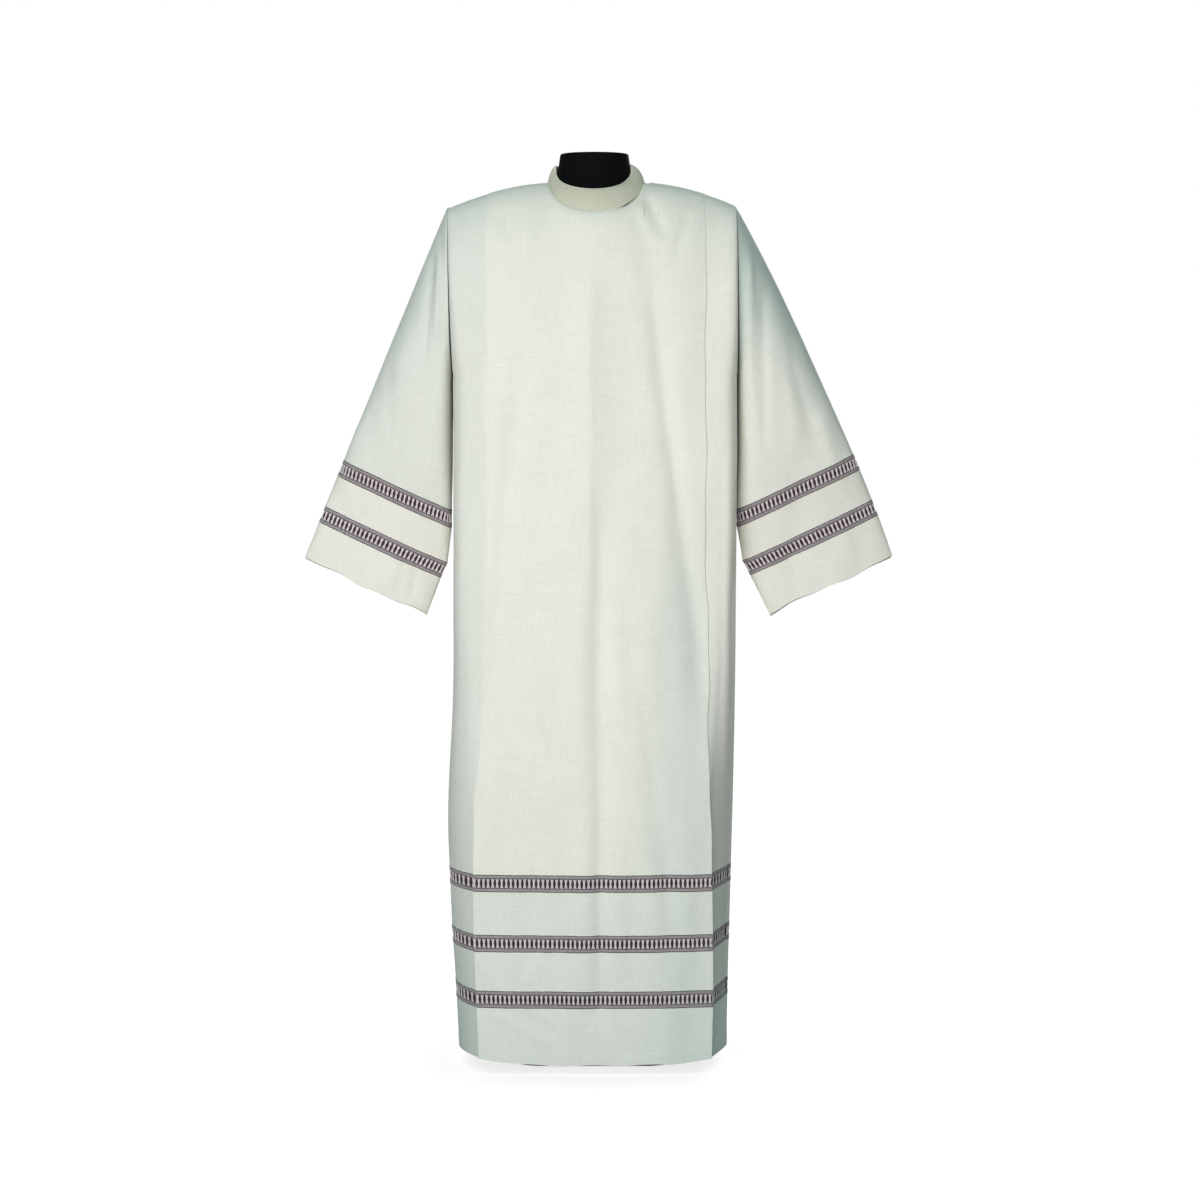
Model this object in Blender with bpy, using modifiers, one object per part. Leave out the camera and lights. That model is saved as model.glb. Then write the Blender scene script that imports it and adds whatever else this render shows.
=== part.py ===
"""Alb robe on a limbless dress form.

The alb is a full-length vestment: a front and a back, pressed into two pleats each,
three openwork insertions round the hem and two round each sleeve, a stand collar and
a zip flap along the wearer's left shoulder. It hangs on a torso form on a steel stand.

Units are metres, +Z is up and the wearer faces -Y. Left and right are the wearer's,
so the right sleeve is at -X. Every cloth piece is an open surface with a Solidify
modifier, worked out from sections through the garment.
"""
from collections import namedtuple
import math

import bmesh
import bpy
import numpy as np

# ---------------------------------------------------------------- driving sizes
WALL = 0.0012            # cloth, as a wall
COLLAR_WALL = 0.0024     # two layers of cloth and a stiffener
SEAM = 0.0003            # gap between pieces sewn edge to edge
TURNED_SEAM = 0.0011     # the same gap where the cloth turns over an edge
FACET_SEAM = 0.0005      # the same gap where facets meet at an angle
LAYER = 0.0020           # from one layer of a pleat to the next
BOX_CENTRE_X = 0.0069    # the sleeves reach this much further to the wearer's left

UNDERARM = 1.190         # height of the lowest point of the armholes
DOME = 2.6               # how square the body is over the shoulders, 2 is an ellipse
SHOULDER_SIDE = 1.515    # height of the shoulder where it meets the collar
SHOULDER_DROP = (0.075, 1.18)    # fall of the shoulder, per metre and per square metre
ARMHOLE_DEPTH = 0.078    # armhole seam, forward and back of the shoulder line

NECK_HALF = 0.0873       # neckline, half width
NECK_REACH = {"front": 0.085, "back": 0.066}
NECK_HEIGHT = {"front": 1.4625, "back": 1.507}
NECK_DIP = 1.5           # how late the neckline dips on its way to the middle

INSERTION = 0.029        # height of one openwork insertion
HEM_MIDDLE = 0.0157      # hem above the floor at the middle of the front
HEM_SIDE = 0.0250        # hem above the floor from the pleats round the sides
HEM_DIP = 2              # how late the hem rises on its way to a pleat
BANDS = (0.342, 0.2392, 0.1432)      # top edge of each hem insertion

# Body sections from the hem up to the armholes. left and right are half widths on the
# wearer's sides, pleat_left and pleat_right are the pressed edges, middle and fold are
# the depth at the middle of a panel and at its pleats, tuck is the depth of a pleat, and
# drawn is how much the sides slant back from their pleats, as a share of SIDE_SLANT.
Section = namedtuple("Section", "height right left pleat_right pleat_left middle fold tuck drawn")
SECTIONS = (
    Section(0.000, 0.2350, 0.2300, 0.1955, 0.1990, 0.1370, 0.1270, 0.045, 1.0),
    Section(0.130, 0.2405, 0.2318, 0.2003, 0.2018, 0.1360, 0.1270, 0.045, 1.0),
    Section(0.300, 0.2485, 0.2360, 0.2050, 0.2005, 0.1345, 0.1260, 0.045, 1.0),
    Section(0.460, 0.2518, 0.2398, 0.2015, 0.1965, 0.1320, 0.1240, 0.044, 0.85),
    Section(0.620, 0.2440, 0.2420, 0.1900, 0.1925, 0.1300, 0.1215, 0.043, 0.35),
    Section(0.850, 0.2417, 0.2430, 0.1840, 0.1877, 0.1280, 0.1195, 0.041, 0.0),
    Section(UNDERARM, 0.2410, 0.2425, 0.1805, 0.1864, 0.1260, 0.1170, 0.038, 0.0),
)
SIDE_SLANT = {"right": 0.45, "left": 0.60}   # share of the depth lost from pleat to edge
SHOULDER_TUCK = 0.022    # depth of a pleat where the shoulder seam holds it

# Largest folds of the panels, each a soft ridge or trough along a line from its top end
# to its low end. x is across the wearer, reach is its half width, depth is outwards.
Fold = namedtuple("Fold", "top_x top_z low_x low_z reach depth")
FOLDS = {
    "front": (
        Fold(-0.018, 1.330, -0.014, 0.120, 0.034, 0.0040),
        Fold(0.008, 1.420, 0.013, 0.100, 0.017, -0.0050),
        Fold(0.094, 1.380, 0.188, 0.620, 0.021, -0.0075),
        Fold(-0.118, 1.210, -0.182, 0.570, 0.024, -0.0050),
        Fold(0.050, 0.800, 0.126, 0.290, 0.020, -0.0040),
    ),
    "back": (
        Fold(0.020, 1.350, 0.012, 0.150, 0.030, 0.0026),
        Fold(-0.020, 1.300, -0.034, 0.250, 0.020, -0.0050),
        Fold(-0.100, 1.330, -0.170, 0.600, 0.024, -0.0065),
        Fold(0.110, 1.280, 0.165, 0.500, 0.024, -0.0060),
    ),
}
FOLD_END = 0.16          # length over which a fold fades out at either end
CORNER = {"right": 2.5, "left": 2.1}     # squareness of the corner beside a pleat
DEEPEST_LAYER = 2        # the side lies this many layers in where it enters a pleat
PROBE = 0.02             # step along the surface that its direction is measured over

# Sleeves: the shoulder tip, the outer corner of the cuff, the cuff's tilt in degrees, how
# far the outer edge bows out, and the height of the strip below the insertions.
Sleeve = namedtuple("Sleeve", "name side tip_x tip_z cuff_x cuff_z tilt bow hem")
SLEEVES = (
    Sleeve("right", -1, 0.2495, 1.4749, 0.4998, 0.8739, 24.8, 0.001, 0.067),
    Sleeve("left", 1, 0.2415, 1.4727, 0.5136, 0.8774, 25.2, 0.012, 0.077),
)
SLEEVE_STRIP = 0.0575    # cloth between the two insertions of a sleeve
# Width and half thickness of a sleeve at each seam line, counted up from the cuff, and
# the form of its inner edge: 1 is an ellipse's, less is flat and more is pointed.
SleeveLine = namedtuple("SleeveLine", "width_right width_left thickness inner_edge")
SLEEVE_LINES = (
    SleeveLine(0.2319, 0.2339, 0.022, 1.20),
    SleeveLine(0.2300, 0.2425, 0.029, 1.00),
    SleeveLine(0.2310, 0.2455, 0.032, 0.95),
    SleeveLine(0.2150, 0.2325, 0.044, 0.75),
    SleeveLine(0.2030, 0.2209, 0.049, 0.65),
)
CUFF_EDGE = 1.2          # the same form of the outer edge at the cuff

COLLAR_TOP_HALF = 0.0760
COLLAR_TOP_REACH = {"front": 0.0715, "back": 0.0610}
COLLAR_TOP_HEIGHT = {"side": 1.5394, "front": 1.5000, "back": 1.5480}
COLLAR_LEAN = 0.0040     # the collar's rim stands towards the wearer's left
FLAP_WIDTH = 0.016       # zip flap on the left shoulder
FLAP_BACK = 0.002        # how far the flap reaches behind the shoulder seam
FLAP_FALL = 0.22         # fall of the flap, away from the seam
FLAP_ENDS = (0.012, 0.004)       # how far it stops short of the neckline and armhole
FLAP_COLUMNS = 9

SIDE_COLUMNS = 4         # facets from a side seam to the nearest pleat
SHOULDER_COLUMNS = 3     # facets from the neckline to a pleat's inner fold
NECK_COLUMNS = 8         # facets across the neckline of a panel
RING_COLUMNS = 4         # the same stretch of an insertion or strip
SKIRT_ROWS = 5           # rows of a panel below the armholes
ARMHOLE_ROWS = 10        # rows of a panel beside the armhole
SLEEVE_ROWS = 8          # rows of a sleeve above its insertions

# Dress form: half width, forward and back reach of its sections.
FormSection = namedtuple("FormSection", "height half front back")
FORM = (
    FormSection(0.7000, 0.150, 0.090, 0.095),
    FormSection(0.7600, 0.166, 0.098, 0.108),
    FormSection(0.8600, 0.168, 0.100, 0.110),
    FormSection(0.9600, 0.158, 0.097, 0.098),
    FormSection(1.0600, 0.152, 0.094, 0.088),
    FormSection(1.1800, 0.166, 0.102, 0.094),
    FormSection(1.3000, 0.184, 0.104, 0.098),
    FormSection(1.3900, 0.198, 0.086, 0.086),
    FormSection(1.4350, 0.196, 0.068, 0.068),
    FormSection(1.4650, 0.180, 0.056, 0.054),
    FormSection(1.4870, 0.150, 0.050, 0.046),
    FormSection(1.5000, 0.110, 0.050, 0.046),
    FormSection(1.5108, 0.074, 0.051, 0.048),
    FormSection(1.5260, 0.0635, 0.053, 0.050),
    FormSection(1.5640, 0.0590, 0.054, 0.054),
)
FORM_POINTS = 20         # points round one section of the form
CAP_INSET = 0.004        # rim round the flat ends of the form
CAP_RISE = 0.0026        # the neck's end is this much domed
FOOT_CREASE = 1.0        # sharpness of the form's lower edge
CAP_CREASE = 0.8         # sharpness of the neck's rim

BASE_SIZE = (0.300, 0.140, 0.010)
BASE_CORNER = 0.060
CORNER_FACETS = 6
FLANGE = (0.040, 0.012)  # radius and height of the flange on the base
POLE_RADIUS = 0.016
SOCKET = (0.050, 0.030)  # radius and height of the socket under the torso
RIM_BEVEL = 0.0010       # the turned pieces' rims

IVORY = (0.86, 0.85, 0.75)
OPENWORK = (0.42, 0.38, 0.38)
BLACK = (0.010, 0.011, 0.014)
STEEL = (0.05, 0.05, 0.055)


# ---------------------------------------------------------------- plain tools
def smooth(table, name, height):
    """Reads a column of a table at any height, along a smooth curve through its rows."""
    heights = [row.height for row in table]
    values = [getattr(row, name) for row in table]
    slopes = np.gradient(values, heights)
    height = min(max(height, heights[0]), heights[-1])
    k = min(int(np.searchsorted(heights, height, side="right")) - 1, len(heights) - 2)
    span = heights[k + 1] - heights[k]
    t = (height - heights[k]) / span
    return ((2 * t ** 3 - 3 * t ** 2 + 1) * values[k]
            + (t ** 3 - 2 * t ** 2 + t) * span * slopes[k]
            + (3 * t ** 2 - 2 * t ** 3) * values[k + 1]
            + (t ** 3 - t ** 2) * span * slopes[k + 1])


def mix(a, b, t):
    return a + (b - a) * t


def make_material(name, colour, roughness, metallic=0.0):
    material = bpy.data.materials.new(name)
    material.use_nodes = True
    shader = material.node_tree.nodes["Principled BSDF"]
    shader.inputs["Base Color"].default_value = (*colour, 1.0)
    shader.inputs["Roughness"].default_value = roughness
    shader.inputs["Metallic"].default_value = metallic
    material.diffuse_color = (*colour, 1.0)
    return material


def add_object(name, mesh, material):
    mesh.materials.append(material)
    obj = bpy.data.objects.new(name, mesh)
    collection.objects.link(obj)
    obj.parent = stand_point
    return obj


def grid_mesh(name, rows, closed):
    """A surface through rows of points; a closed one joins its last column to its first."""
    mesh = bmesh.new()
    verts = [[mesh.verts.new(point) for point in row] for row in rows]
    columns = len(rows[0])
    for low, high in zip(verts, verts[1:]):
        for i in range(columns if closed else columns - 1):
            j = (i + 1) % columns
            mesh.faces.new((low[i], low[j], high[j], high[i]))
    data = bpy.data.meshes.new(name)
    mesh.to_mesh(data)
    mesh.free()
    return data


def cloth(name, rows, material, closed=False, wall=WALL, offset=0.0):
    """A piece of cloth: an open surface that Solidify makes into a wall."""
    obj = add_object(name, grid_mesh(name, rows, closed), material)
    solidify = obj.modifiers.new("Wall", "SOLIDIFY")
    solidify.thickness = wall
    solidify.offset = offset
    solidify.use_even_offset = True
    return obj


# ---------------------------------------------------------------- body surface
def shoulder_height(x):
    run = max(abs(x) - NECK_HALF, 0.0)
    return SHOULDER_SIDE - SHOULDER_DROP[0] * run - SHOULDER_DROP[1] * run ** 2


def neckline(angle, panel):
    """A point of the neckline; angle 0 is at the wearer's left and pi/2 is the middle."""
    reach = math.sin(angle)
    height = mix(SHOULDER_SIDE, NECK_HEIGHT[panel], max(reach, 0.0) ** NECK_DIP)
    return NECK_HALF * math.cos(angle), NECK_REACH[panel] * reach, height


def level(height, side):
    """Edge, pleat, middle, fold and tuck of the section at one height, on one side."""
    pick = {1: "left", -1: "right"}[side]
    names = (pick, "pleat_" + pick, "middle", "fold", "tuck")
    return [smooth(SECTIONS, name, height) for name in names]


def panel_depth(x, height, side, panel):
    """How far out the flat part of a panel stands, with its folds."""
    pleat, middle, edge = level(height, side)[1:4]
    depth = mix(middle, edge, min(x / pleat, 1.0) ** 3)
    for fold in FOLDS[panel]:
        t = (fold.top_z - height) / (fold.top_z - fold.low_z)
        span = min(fold.top_z - height, height - fold.low_z) / FOLD_END
        fade = min(max(span + 0.5, 0.0), 1.0)
        away = (side * x - mix(fold.top_x, fold.low_x, t)) / fold.reach
        depth += fold.depth * math.exp(-away ** 2) * fade ** 2 * (3 - 2 * fade)
    return depth


def column_x(zone, f, side, height, rise):
    """How far out a column lies. rise is 0 up to the armholes and 1 at the shoulder."""
    pleat, tuck = level(height, side)[1], level(height, side)[4]
    tuck = mix(tuck, SHOULDER_TUCK, rise)
    if zone == "neck":
        return NECK_HALF * math.cos(f * math.pi / 2)
    if zone == "shoulder":
        return mix(NECK_HALF, pleat - tuck, f)
    return mix(pleat - tuck, pleat, f)


def face_point(x, height, rise, side, panel):
    """A point of the flat part of a panel, between its pleats."""
    if rise <= 0.0:
        return np.array((side * x, panel_depth(x, height, side, panel), height))
    if x < NECK_HALF:
        top_y, top_z = neckline(math.acos(x / NECK_HALF), panel)[1:]
    else:
        top_y, top_z = TURNED_SEAM / 2, shoulder_height(x)
    height = mix(UNDERARM, top_z, rise)
    dome = math.sqrt(max(1.0 - rise ** DOME, 0.0))
    return np.array((side * x, mix(top_y, panel_depth(x, height, side, panel), dome), height))


def side_point(f, height, rise, side, panel):
    """A point from a pleat, f = 0, round the corner to the side seam or armhole, f = 1."""
    edge, pleat = level(height, side)[:2]
    start = face_point(pleat, height, rise, side, panel)
    edge_y = FACET_SEAM / 2
    if rise > 0.0:
        sleeve = SLEEVES[0 if side < 0 else 1]
        edge = mix(edge, sleeve.tip_x, rise)
        edge_y = max(TURNED_SEAM / 2, ARMHOLE_DEPTH * math.sqrt(1 - (2 * rise - 1) ** 2))
    name = "left" if side > 0 else "right"
    corner = 2 / CORNER[name]
    across = math.sin(f * math.pi / 2) ** corner
    along = max(math.cos(f * math.pi / 2), 0.0) ** corner
    slant = SIDE_SLANT[name] * smooth(SECTIONS, "drawn", height) * across
    x = mix(pleat, edge, across)
    y = mix(edge_y, start[1] * (1 - slant), along)
    z = height if rise <= 0.0 else mix(UNDERARM, shoulder_height(x), rise)
    return np.array((side * x, y, z))


def base_point(column, height, rise, panel):
    """A point of the panel without its pleats, with the front turned to -Y."""
    side, zone, f = column
    if zone == "side":
        point = side_point(f, height, rise, side, panel)
    else:
        x = column_x(zone, f, side, height, rise)
        point = face_point(x, height, rise, side, panel)
    if panel == "front":
        point[1] = -point[1]
    return point


def panel_columns(shoulder_columns, neck_columns):
    """Columns of a panel from the right side seam to the left one, as (column, layers in)."""
    right = []
    for k in range(SIDE_COLUMNS + 1):
        f = 1 - k / SIDE_COLUMNS
        right.append(((-1, "side", f), DEEPEST_LAYER * (1 - f) ** 2))
    right.append(((-1, "tuck", 0.0), DEEPEST_LAYER))
    right += [((-1, "tuck", f), 1) for f in (0.0, 1.0)]
    right += [((-1, "tuck", f), 0) for f in (1.0, 0.0)]
    for k in range(shoulder_columns - 1, 0, -1):
        right.append(((-1, "shoulder", k / shoulder_columns), 0))
    middle = []
    for k in range(neck_columns + 1):
        turn = 2 * k / neck_columns - 1
        middle.append(((-1 if turn < 0 else 1, "neck", 1 - abs(turn)), 0))
    left = [((1, zone, f), layer) for (side, zone, f), layer in reversed(right)]
    return right + middle + left


def outward(column, height, rise, panel):
    """The direction square to the panel at a point, away from the wearer."""
    side, zone, f = column
    if zone == "side" and f == 0.0:
        # The side starts square behind the pleat's layers.
        return outward((side, "tuck", 1.0), height, rise, panel)
    low, high = max(f - PROBE, 0.0), min(f + PROBE, 1.0)
    across = (base_point((side, zone, high), height, rise, panel)
              - base_point((side, zone, low), height, rise, panel))
    if rise >= 1.0:
        up = np.array((0.0, 1.0 if panel == "front" else -1.0, 0.0))
    elif rise > 0.0:
        below = base_point(column, height, max(rise - PROBE, 0.0), panel)
        above = base_point(column, height, min(rise + PROBE, 1.0), panel)
        up = above - below
    else:
        up = np.array((0.0, 0.0, 1.0))
    # Columns count outwards from the middle, so the product turns over with the side and
    # with the panel.
    turn = side if zone == "side" or zone == "tuck" else -side
    normal = np.cross(across, up) * turn * (1 if panel == "front" else -1)
    return normal / np.linalg.norm(normal)


def panel_row(columns, height, rise, panel):
    """One row of a panel, with the layers of its pleats."""
    row = []
    for column, layers in columns:
        point = base_point(column, height, rise, panel)
        if layers:
            point = point - layers * LAYER * outward(column, height, rise, panel)
        row.append(point)
    return row


# ---------------------------------------------------------------- body pieces
def body_panel(panel):
    """Front or back, in one piece from the first insertion to the shoulder and neck."""
    columns = panel_columns(SHOULDER_COLUMNS, NECK_COLUMNS)
    rows = []
    for k in range(SKIRT_ROWS):
        height = mix(BANDS[0] + SEAM, UNDERARM, k / SKIRT_ROWS)
        rows.append(panel_row(columns, height, 0.0, panel))
    for k in range(ARMHOLE_ROWS + 1):
        rise = (1 - math.cos(math.pi * k / ARMHOLE_ROWS)) / 2
        rows.append(panel_row(columns, UNDERARM, rise, panel))
    cloth(panel + "_body", rows, ivory)


def ring_row(height, is_hem=False):
    """One level of the skirt, all the way round, from the right side seam over the front."""
    columns = panel_columns(SHOULDER_COLUMNS, RING_COLUMNS)
    front = panel_row(columns, height, 0.0, "front")
    back = panel_row(columns, height, 0.0, "back")[::-1]
    if is_hem:
        pleat = level(height, 1)[1]
        for point in front + back:
            way = min(abs(point[0]) / pleat, 1.0)
            point[2] = mix(HEM_MIDDLE, HEM_SIDE, way ** HEM_DIP)
    for side_seam in (front[0], front[-1]):
        side_seam[1] = 0.0
    return front + back[1:-1]


def skirt_rings():
    """The three insertions and the plain strips below each, as rings."""
    for k, top in enumerate(BANDS, start=1):
        bottom = top - INSERTION
        cloth(f"hem_insertion_{k}", [ring_row(bottom), ring_row(top)], openwork, closed=True)
        is_last = k == len(BANDS)
        low = 0.0 if is_last else BANDS[k] + SEAM
        name = "hem_strip" if is_last else f"skirt_strip_{k}"
        cloth(name, [ring_row(low, is_last), ring_row(bottom - SEAM)], ivory, closed=True)


# ---------------------------------------------------------------- sleeves
def signed_power(value, power):
    return math.copysign(abs(value) ** power, value)


def sleeve_section(outer, inner, thickness, outer_edge_form, inner_edge_form):
    """A flattened ring between the sleeve's outer and inner edges."""
    middle = (outer + inner) / 2
    half = (outer - inner) / 2
    ring = []
    for k in range(2 * ARMHOLE_ROWS):
        angle = math.pi * k / ARMHOLE_ROWS
        form = outer_edge_form if math.cos(angle) > 0 else inner_edge_form
        depth = -thickness * signed_power(math.sin(angle), form)
        along = signed_power(math.cos(angle), form)
        ring.append(middle + half * along + np.array((0.0, depth, 0.0)))
    return ring


def sleeve_lines(sleeve):
    """Distance from the cuff up the outer edge to each seam line."""
    steps = (0.0, sleeve.hem, INSERTION, SLEEVE_STRIP, INSERTION)
    return list(np.cumsum(steps))


def edge_ends(sleeve):
    """The ends of a sleeve's outer edge, at the cuff and at the shoulder."""
    cuff = np.array((sleeve.side * sleeve.cuff_x, 0.0, sleeve.cuff_z))
    tip = np.array((sleeve.side * (sleeve.tip_x + TURNED_SEAM), 0.0, sleeve.tip_z))
    return cuff, tip


def edge_length(sleeve):
    cuff, tip = edge_ends(sleeve)
    return np.linalg.norm(tip - cuff)


def outer_edge(sleeve, distance):
    """A point of the outer edge, by its distance from the cuff."""
    cuff, tip = edge_ends(sleeve)
    t = distance / edge_length(sleeve)
    bow = np.array((sleeve.side * sleeve.bow * (1 - abs(2 * t - 1) ** 3), 0.0, 0.0))
    return mix(cuff, tip, t) + bow


def cuff_section(sleeve, distance):
    """A section parallel to the cuff, at a distance up the outer edge."""
    lines = sleeve_lines(sleeve)
    names = ("width_" + sleeve.name, "thickness", "inner_edge")
    width, thickness, inner_edge = [
        np.interp(distance, lines, [getattr(line, name) for line in SLEEVE_LINES])
        for name in names]
    tilt = math.radians(sleeve.tilt)
    outer = outer_edge(sleeve, distance)
    inner = outer - width * np.array((sleeve.side * math.cos(tilt), 0.0, math.sin(tilt)))
    return outer, inner, thickness, mix(CUFF_EDGE, 1.0, distance / lines[-1]), inner_edge


def upper_sleeve(sleeve):
    """From the armhole to the first insertion."""
    top_line = sleeve_lines(sleeve)[-1] + FACET_SEAM
    end_inner, end_thickness, _, end_edge = cuff_section(sleeve, top_line)[1:]
    body_edge = level(UNDERARM, sleeve.side)[0]
    underarm_x = body_edge + WALL + TURNED_SEAM
    underarm = np.array((sleeve.side * underarm_x, 0.0, UNDERARM))
    rows = []
    for k in range(SLEEVE_ROWS + 1):
        t = k / SLEEVE_ROWS
        outer = outer_edge(sleeve, mix(edge_length(sleeve), top_line, t))
        inner = mix(underarm, end_inner, t)
        thickness = mix(ARMHOLE_DEPTH, end_thickness, t ** 2)
        rows.append(sleeve_section(outer, inner, thickness, 1.0, mix(1.0, end_edge, t)))
    cloth(f"{sleeve.name}_sleeve", rows, ivory, closed=True)


def sleeve_bands(sleeve):
    """The insertions, the strip between them and the cuff strip."""
    names = ("cuff_strip", "sleeve_insertion_2", "sleeve_strip", "sleeve_insertion_1")
    lines = sleeve_lines(sleeve)
    for name, low, high in zip(names, lines, lines[1:]):
        gap = 0.0 if "insertion" in name else FACET_SEAM
        low_gap = gap if low > 0.0 else 0.0
        rows = [sleeve_section(*cuff_section(sleeve, high - gap)),
                sleeve_section(*cuff_section(sleeve, low + low_gap))]
        material = openwork if "insertion" in name else ivory
        cloth(f"{sleeve.name}_{name}", rows, material, closed=True)


# ---------------------------------------------------------------- collar and zip flap
def collar_rim(angle):
    """A point of the collar's top rim."""
    reach = math.sin(angle)
    panel = "front" if reach >= 0 else "back"
    height = mix(COLLAR_TOP_HEIGHT["side"], COLLAR_TOP_HEIGHT[panel], abs(reach) ** NECK_DIP)
    y = -COLLAR_TOP_REACH[panel] * reach
    return np.array((COLLAR_TOP_HALF * math.cos(angle) + COLLAR_LEAN, y, height))


def collar_foot(angle):
    """A point of the collar's foot, just above the neckline."""
    panel = "front" if math.sin(angle) >= 0 else "back"
    x, y, z = neckline(abs(angle), panel)
    side = -1 if panel == "front" else 1
    return np.array((x, side * y, z))


def stand_collar():
    rows = []
    points = 2 * NECK_COLUMNS
    angles = [2 * math.pi * k / points for k in range(points)]
    angles = [angle if angle <= math.pi else angle - 2 * math.pi for angle in angles]
    for t in (0.0, 0.5, 1.0):
        row = []
        for angle in angles:
            foot, rim = collar_foot(angle), collar_rim(angle)
            up = (rim - foot) / np.linalg.norm(rim - foot)
            foot = foot + up * (WALL + SEAM)
            row.append(mix(foot, rim, t))
        rows.append(row)
    cloth("stand_collar", rows, ivory, closed=True, wall=COLLAR_WALL)


def zip_flap():
    """A narrow flap that lies along the left shoulder seam and covers the zip."""
    inner_x = NECK_HALF + FLAP_ENDS[0]
    outer_x = SLEEVES[1].tip_x - FLAP_ENDS[1]
    lift = WALL + FACET_SEAM + SEAM
    rows = []
    for y in (FLAP_BACK, 0.0, FLAP_BACK - FLAP_WIDTH):
        row = []
        for t in np.linspace(0.0, 1.0, FLAP_COLUMNS):
            x = mix(inner_x, outer_x, t)
            row.append(np.array((x, y, shoulder_height(x) + lift - FLAP_FALL * abs(y))))
        rows.append(row)
    cloth("zip_flap", rows, ivory)


# ---------------------------------------------------------------- dress form
def torso():
    """The form from its hips to the end of its neck, from a cage of rings."""
    mesh = bmesh.new()
    rings = []
    for section in FORM:
        ring = []
        for k in range(FORM_POINTS):
            angle = 2 * math.pi * k / FORM_POINTS
            reach = section.front if math.sin(angle) < 0 else section.back
            point = (section.half * math.cos(angle), reach * math.sin(angle), section.height)
            ring.append(mesh.verts.new(point))
        rings.append(ring)
    for low, high in zip(rings, rings[1:]):
        for i in range(FORM_POINTS):
            j = (i + 1) % FORM_POINTS
            mesh.faces.new((low[i], low[j], high[j], high[i]))
    foot = mesh.faces.new(rings[0][::-1])
    top = mesh.faces.new(rings[-1])
    for cap, rise in ((foot, 0.0), (top, CAP_RISE)):
        bmesh.ops.inset_individual(mesh, faces=[cap], thickness=CAP_INSET)
        bmesh.ops.translate(mesh, verts=cap.verts, vec=(0, 0, rise))
    crease = mesh.edges.layers.float.new("crease_edge")
    for ring, sharpness in ((rings[0], FOOT_CREASE), (rings[-1], CAP_CREASE)):
        for one, other in zip(ring, ring[1:] + ring[:1]):
            mesh.edges.get((one, other))[crease] = sharpness
    data = bpy.data.meshes.new("torso")
    mesh.to_mesh(data)
    mesh.free()
    obj = add_object("form_torso", data, black)
    soften = obj.modifiers.new("Soften", "SUBSURF")
    soften.levels = soften.render_levels = 1
    data.shade_smooth()


def turned(name, radius, low, high, material, segments=32):
    """An upright cylinder with softened rims."""
    mesh = bmesh.new()
    bmesh.ops.create_cone(mesh, cap_ends=True, segments=segments, radius1=radius,
                          radius2=radius, depth=high - low)
    data = bpy.data.meshes.new(name)
    mesh.to_mesh(data)
    mesh.free()
    obj = add_object(name, data, material)
    obj.location.z = (low + high) / 2
    bevel = obj.modifiers.new("Rims", "BEVEL")
    bevel.width = RIM_BEVEL
    bevel.segments = 1
    bevel.limit_method = "ANGLE"


def base_plate():
    """A rounded steel plate, an outline filled and thickened."""
    curve = bpy.data.curves.new("base_plate", "CURVE")
    curve.dimensions = "2D"
    curve.fill_mode = "BOTH"
    curve.extrude = BASE_SIZE[2] / 2
    outline = []
    for quarter in range(4):
        across = 1 if quarter in (0, 3) else -1
        along = 1 if quarter in (0, 1) else -1
        for step in range(CORNER_FACETS + 1):
            angle = math.pi / 2 * (quarter + step / CORNER_FACETS)
            x = across * (BASE_SIZE[0] / 2 - BASE_CORNER) + BASE_CORNER * math.cos(angle)
            y = along * (BASE_SIZE[1] / 2 - BASE_CORNER) + BASE_CORNER * math.sin(angle)
            outline.append((x, y, 0.0, 1.0))
    spline = curve.splines.new("POLY")
    spline.points.add(len(outline) - 1)
    for point, place in zip(spline.points, outline):
        point.co = place
    spline.use_cyclic_u = True
    obj = add_object("form_base_plate", curve, steel)
    obj.location.z = BASE_SIZE[2] / 2
    weld = obj.modifiers.new("Weld", "WELD")
    weld.merge_threshold = 0.0001


def stand():
    """Base plate, flange, pole and the socket that carries the torso."""
    base_plate()
    flange_low = BASE_SIZE[2] + SEAM
    flange_high = flange_low + FLANGE[1]
    socket_low = FORM[0].height - SEAM - SOCKET[1]
    turned("form_base_flange", FLANGE[0], flange_low, flange_high, steel)
    turned("form_pole", POLE_RADIUS, flange_high + SEAM, socket_low - SEAM, steel, 24)
    turned("form_socket", SOCKET[0], socket_low, FORM[0].height - SEAM, steel)


# ---------------------------------------------------------------- build
for old in list(bpy.data.objects):
    bpy.data.objects.remove(old)

collection = bpy.data.collections.new("Alb robe on a dress form")
bpy.context.scene.collection.children.link(collection)
stand_point = bpy.data.objects.new("stand_point", None)
stand_point.location.x = -BOX_CENTRE_X
collection.objects.link(stand_point)

ivory = make_material("ivory cloth", IVORY, 0.85)
openwork = make_material("openwork insertion", OPENWORK, 0.85)
black = make_material("black form cover", BLACK, 0.6)
steel = make_material("black steel", STEEL, 0.4, 0.6)

body_panel("front")
body_panel("back")
skirt_rings()
for one_sleeve in SLEEVES:
    upper_sleeve(one_sleeve)
    sleeve_bands(one_sleeve)
stand_collar()
zip_flap()
torso()
stand()
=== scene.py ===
"""Looks of an alb robe on a limbless dress form.

Metres, +Z up. The wearer faces -Y, and left and right are the wearer's, so the right
sleeve is at -X. Each section makes one piece or group of like pieces, in the order in
which the stand, the form and the robe are put together.
"""
from collections import namedtuple
import math

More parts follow.
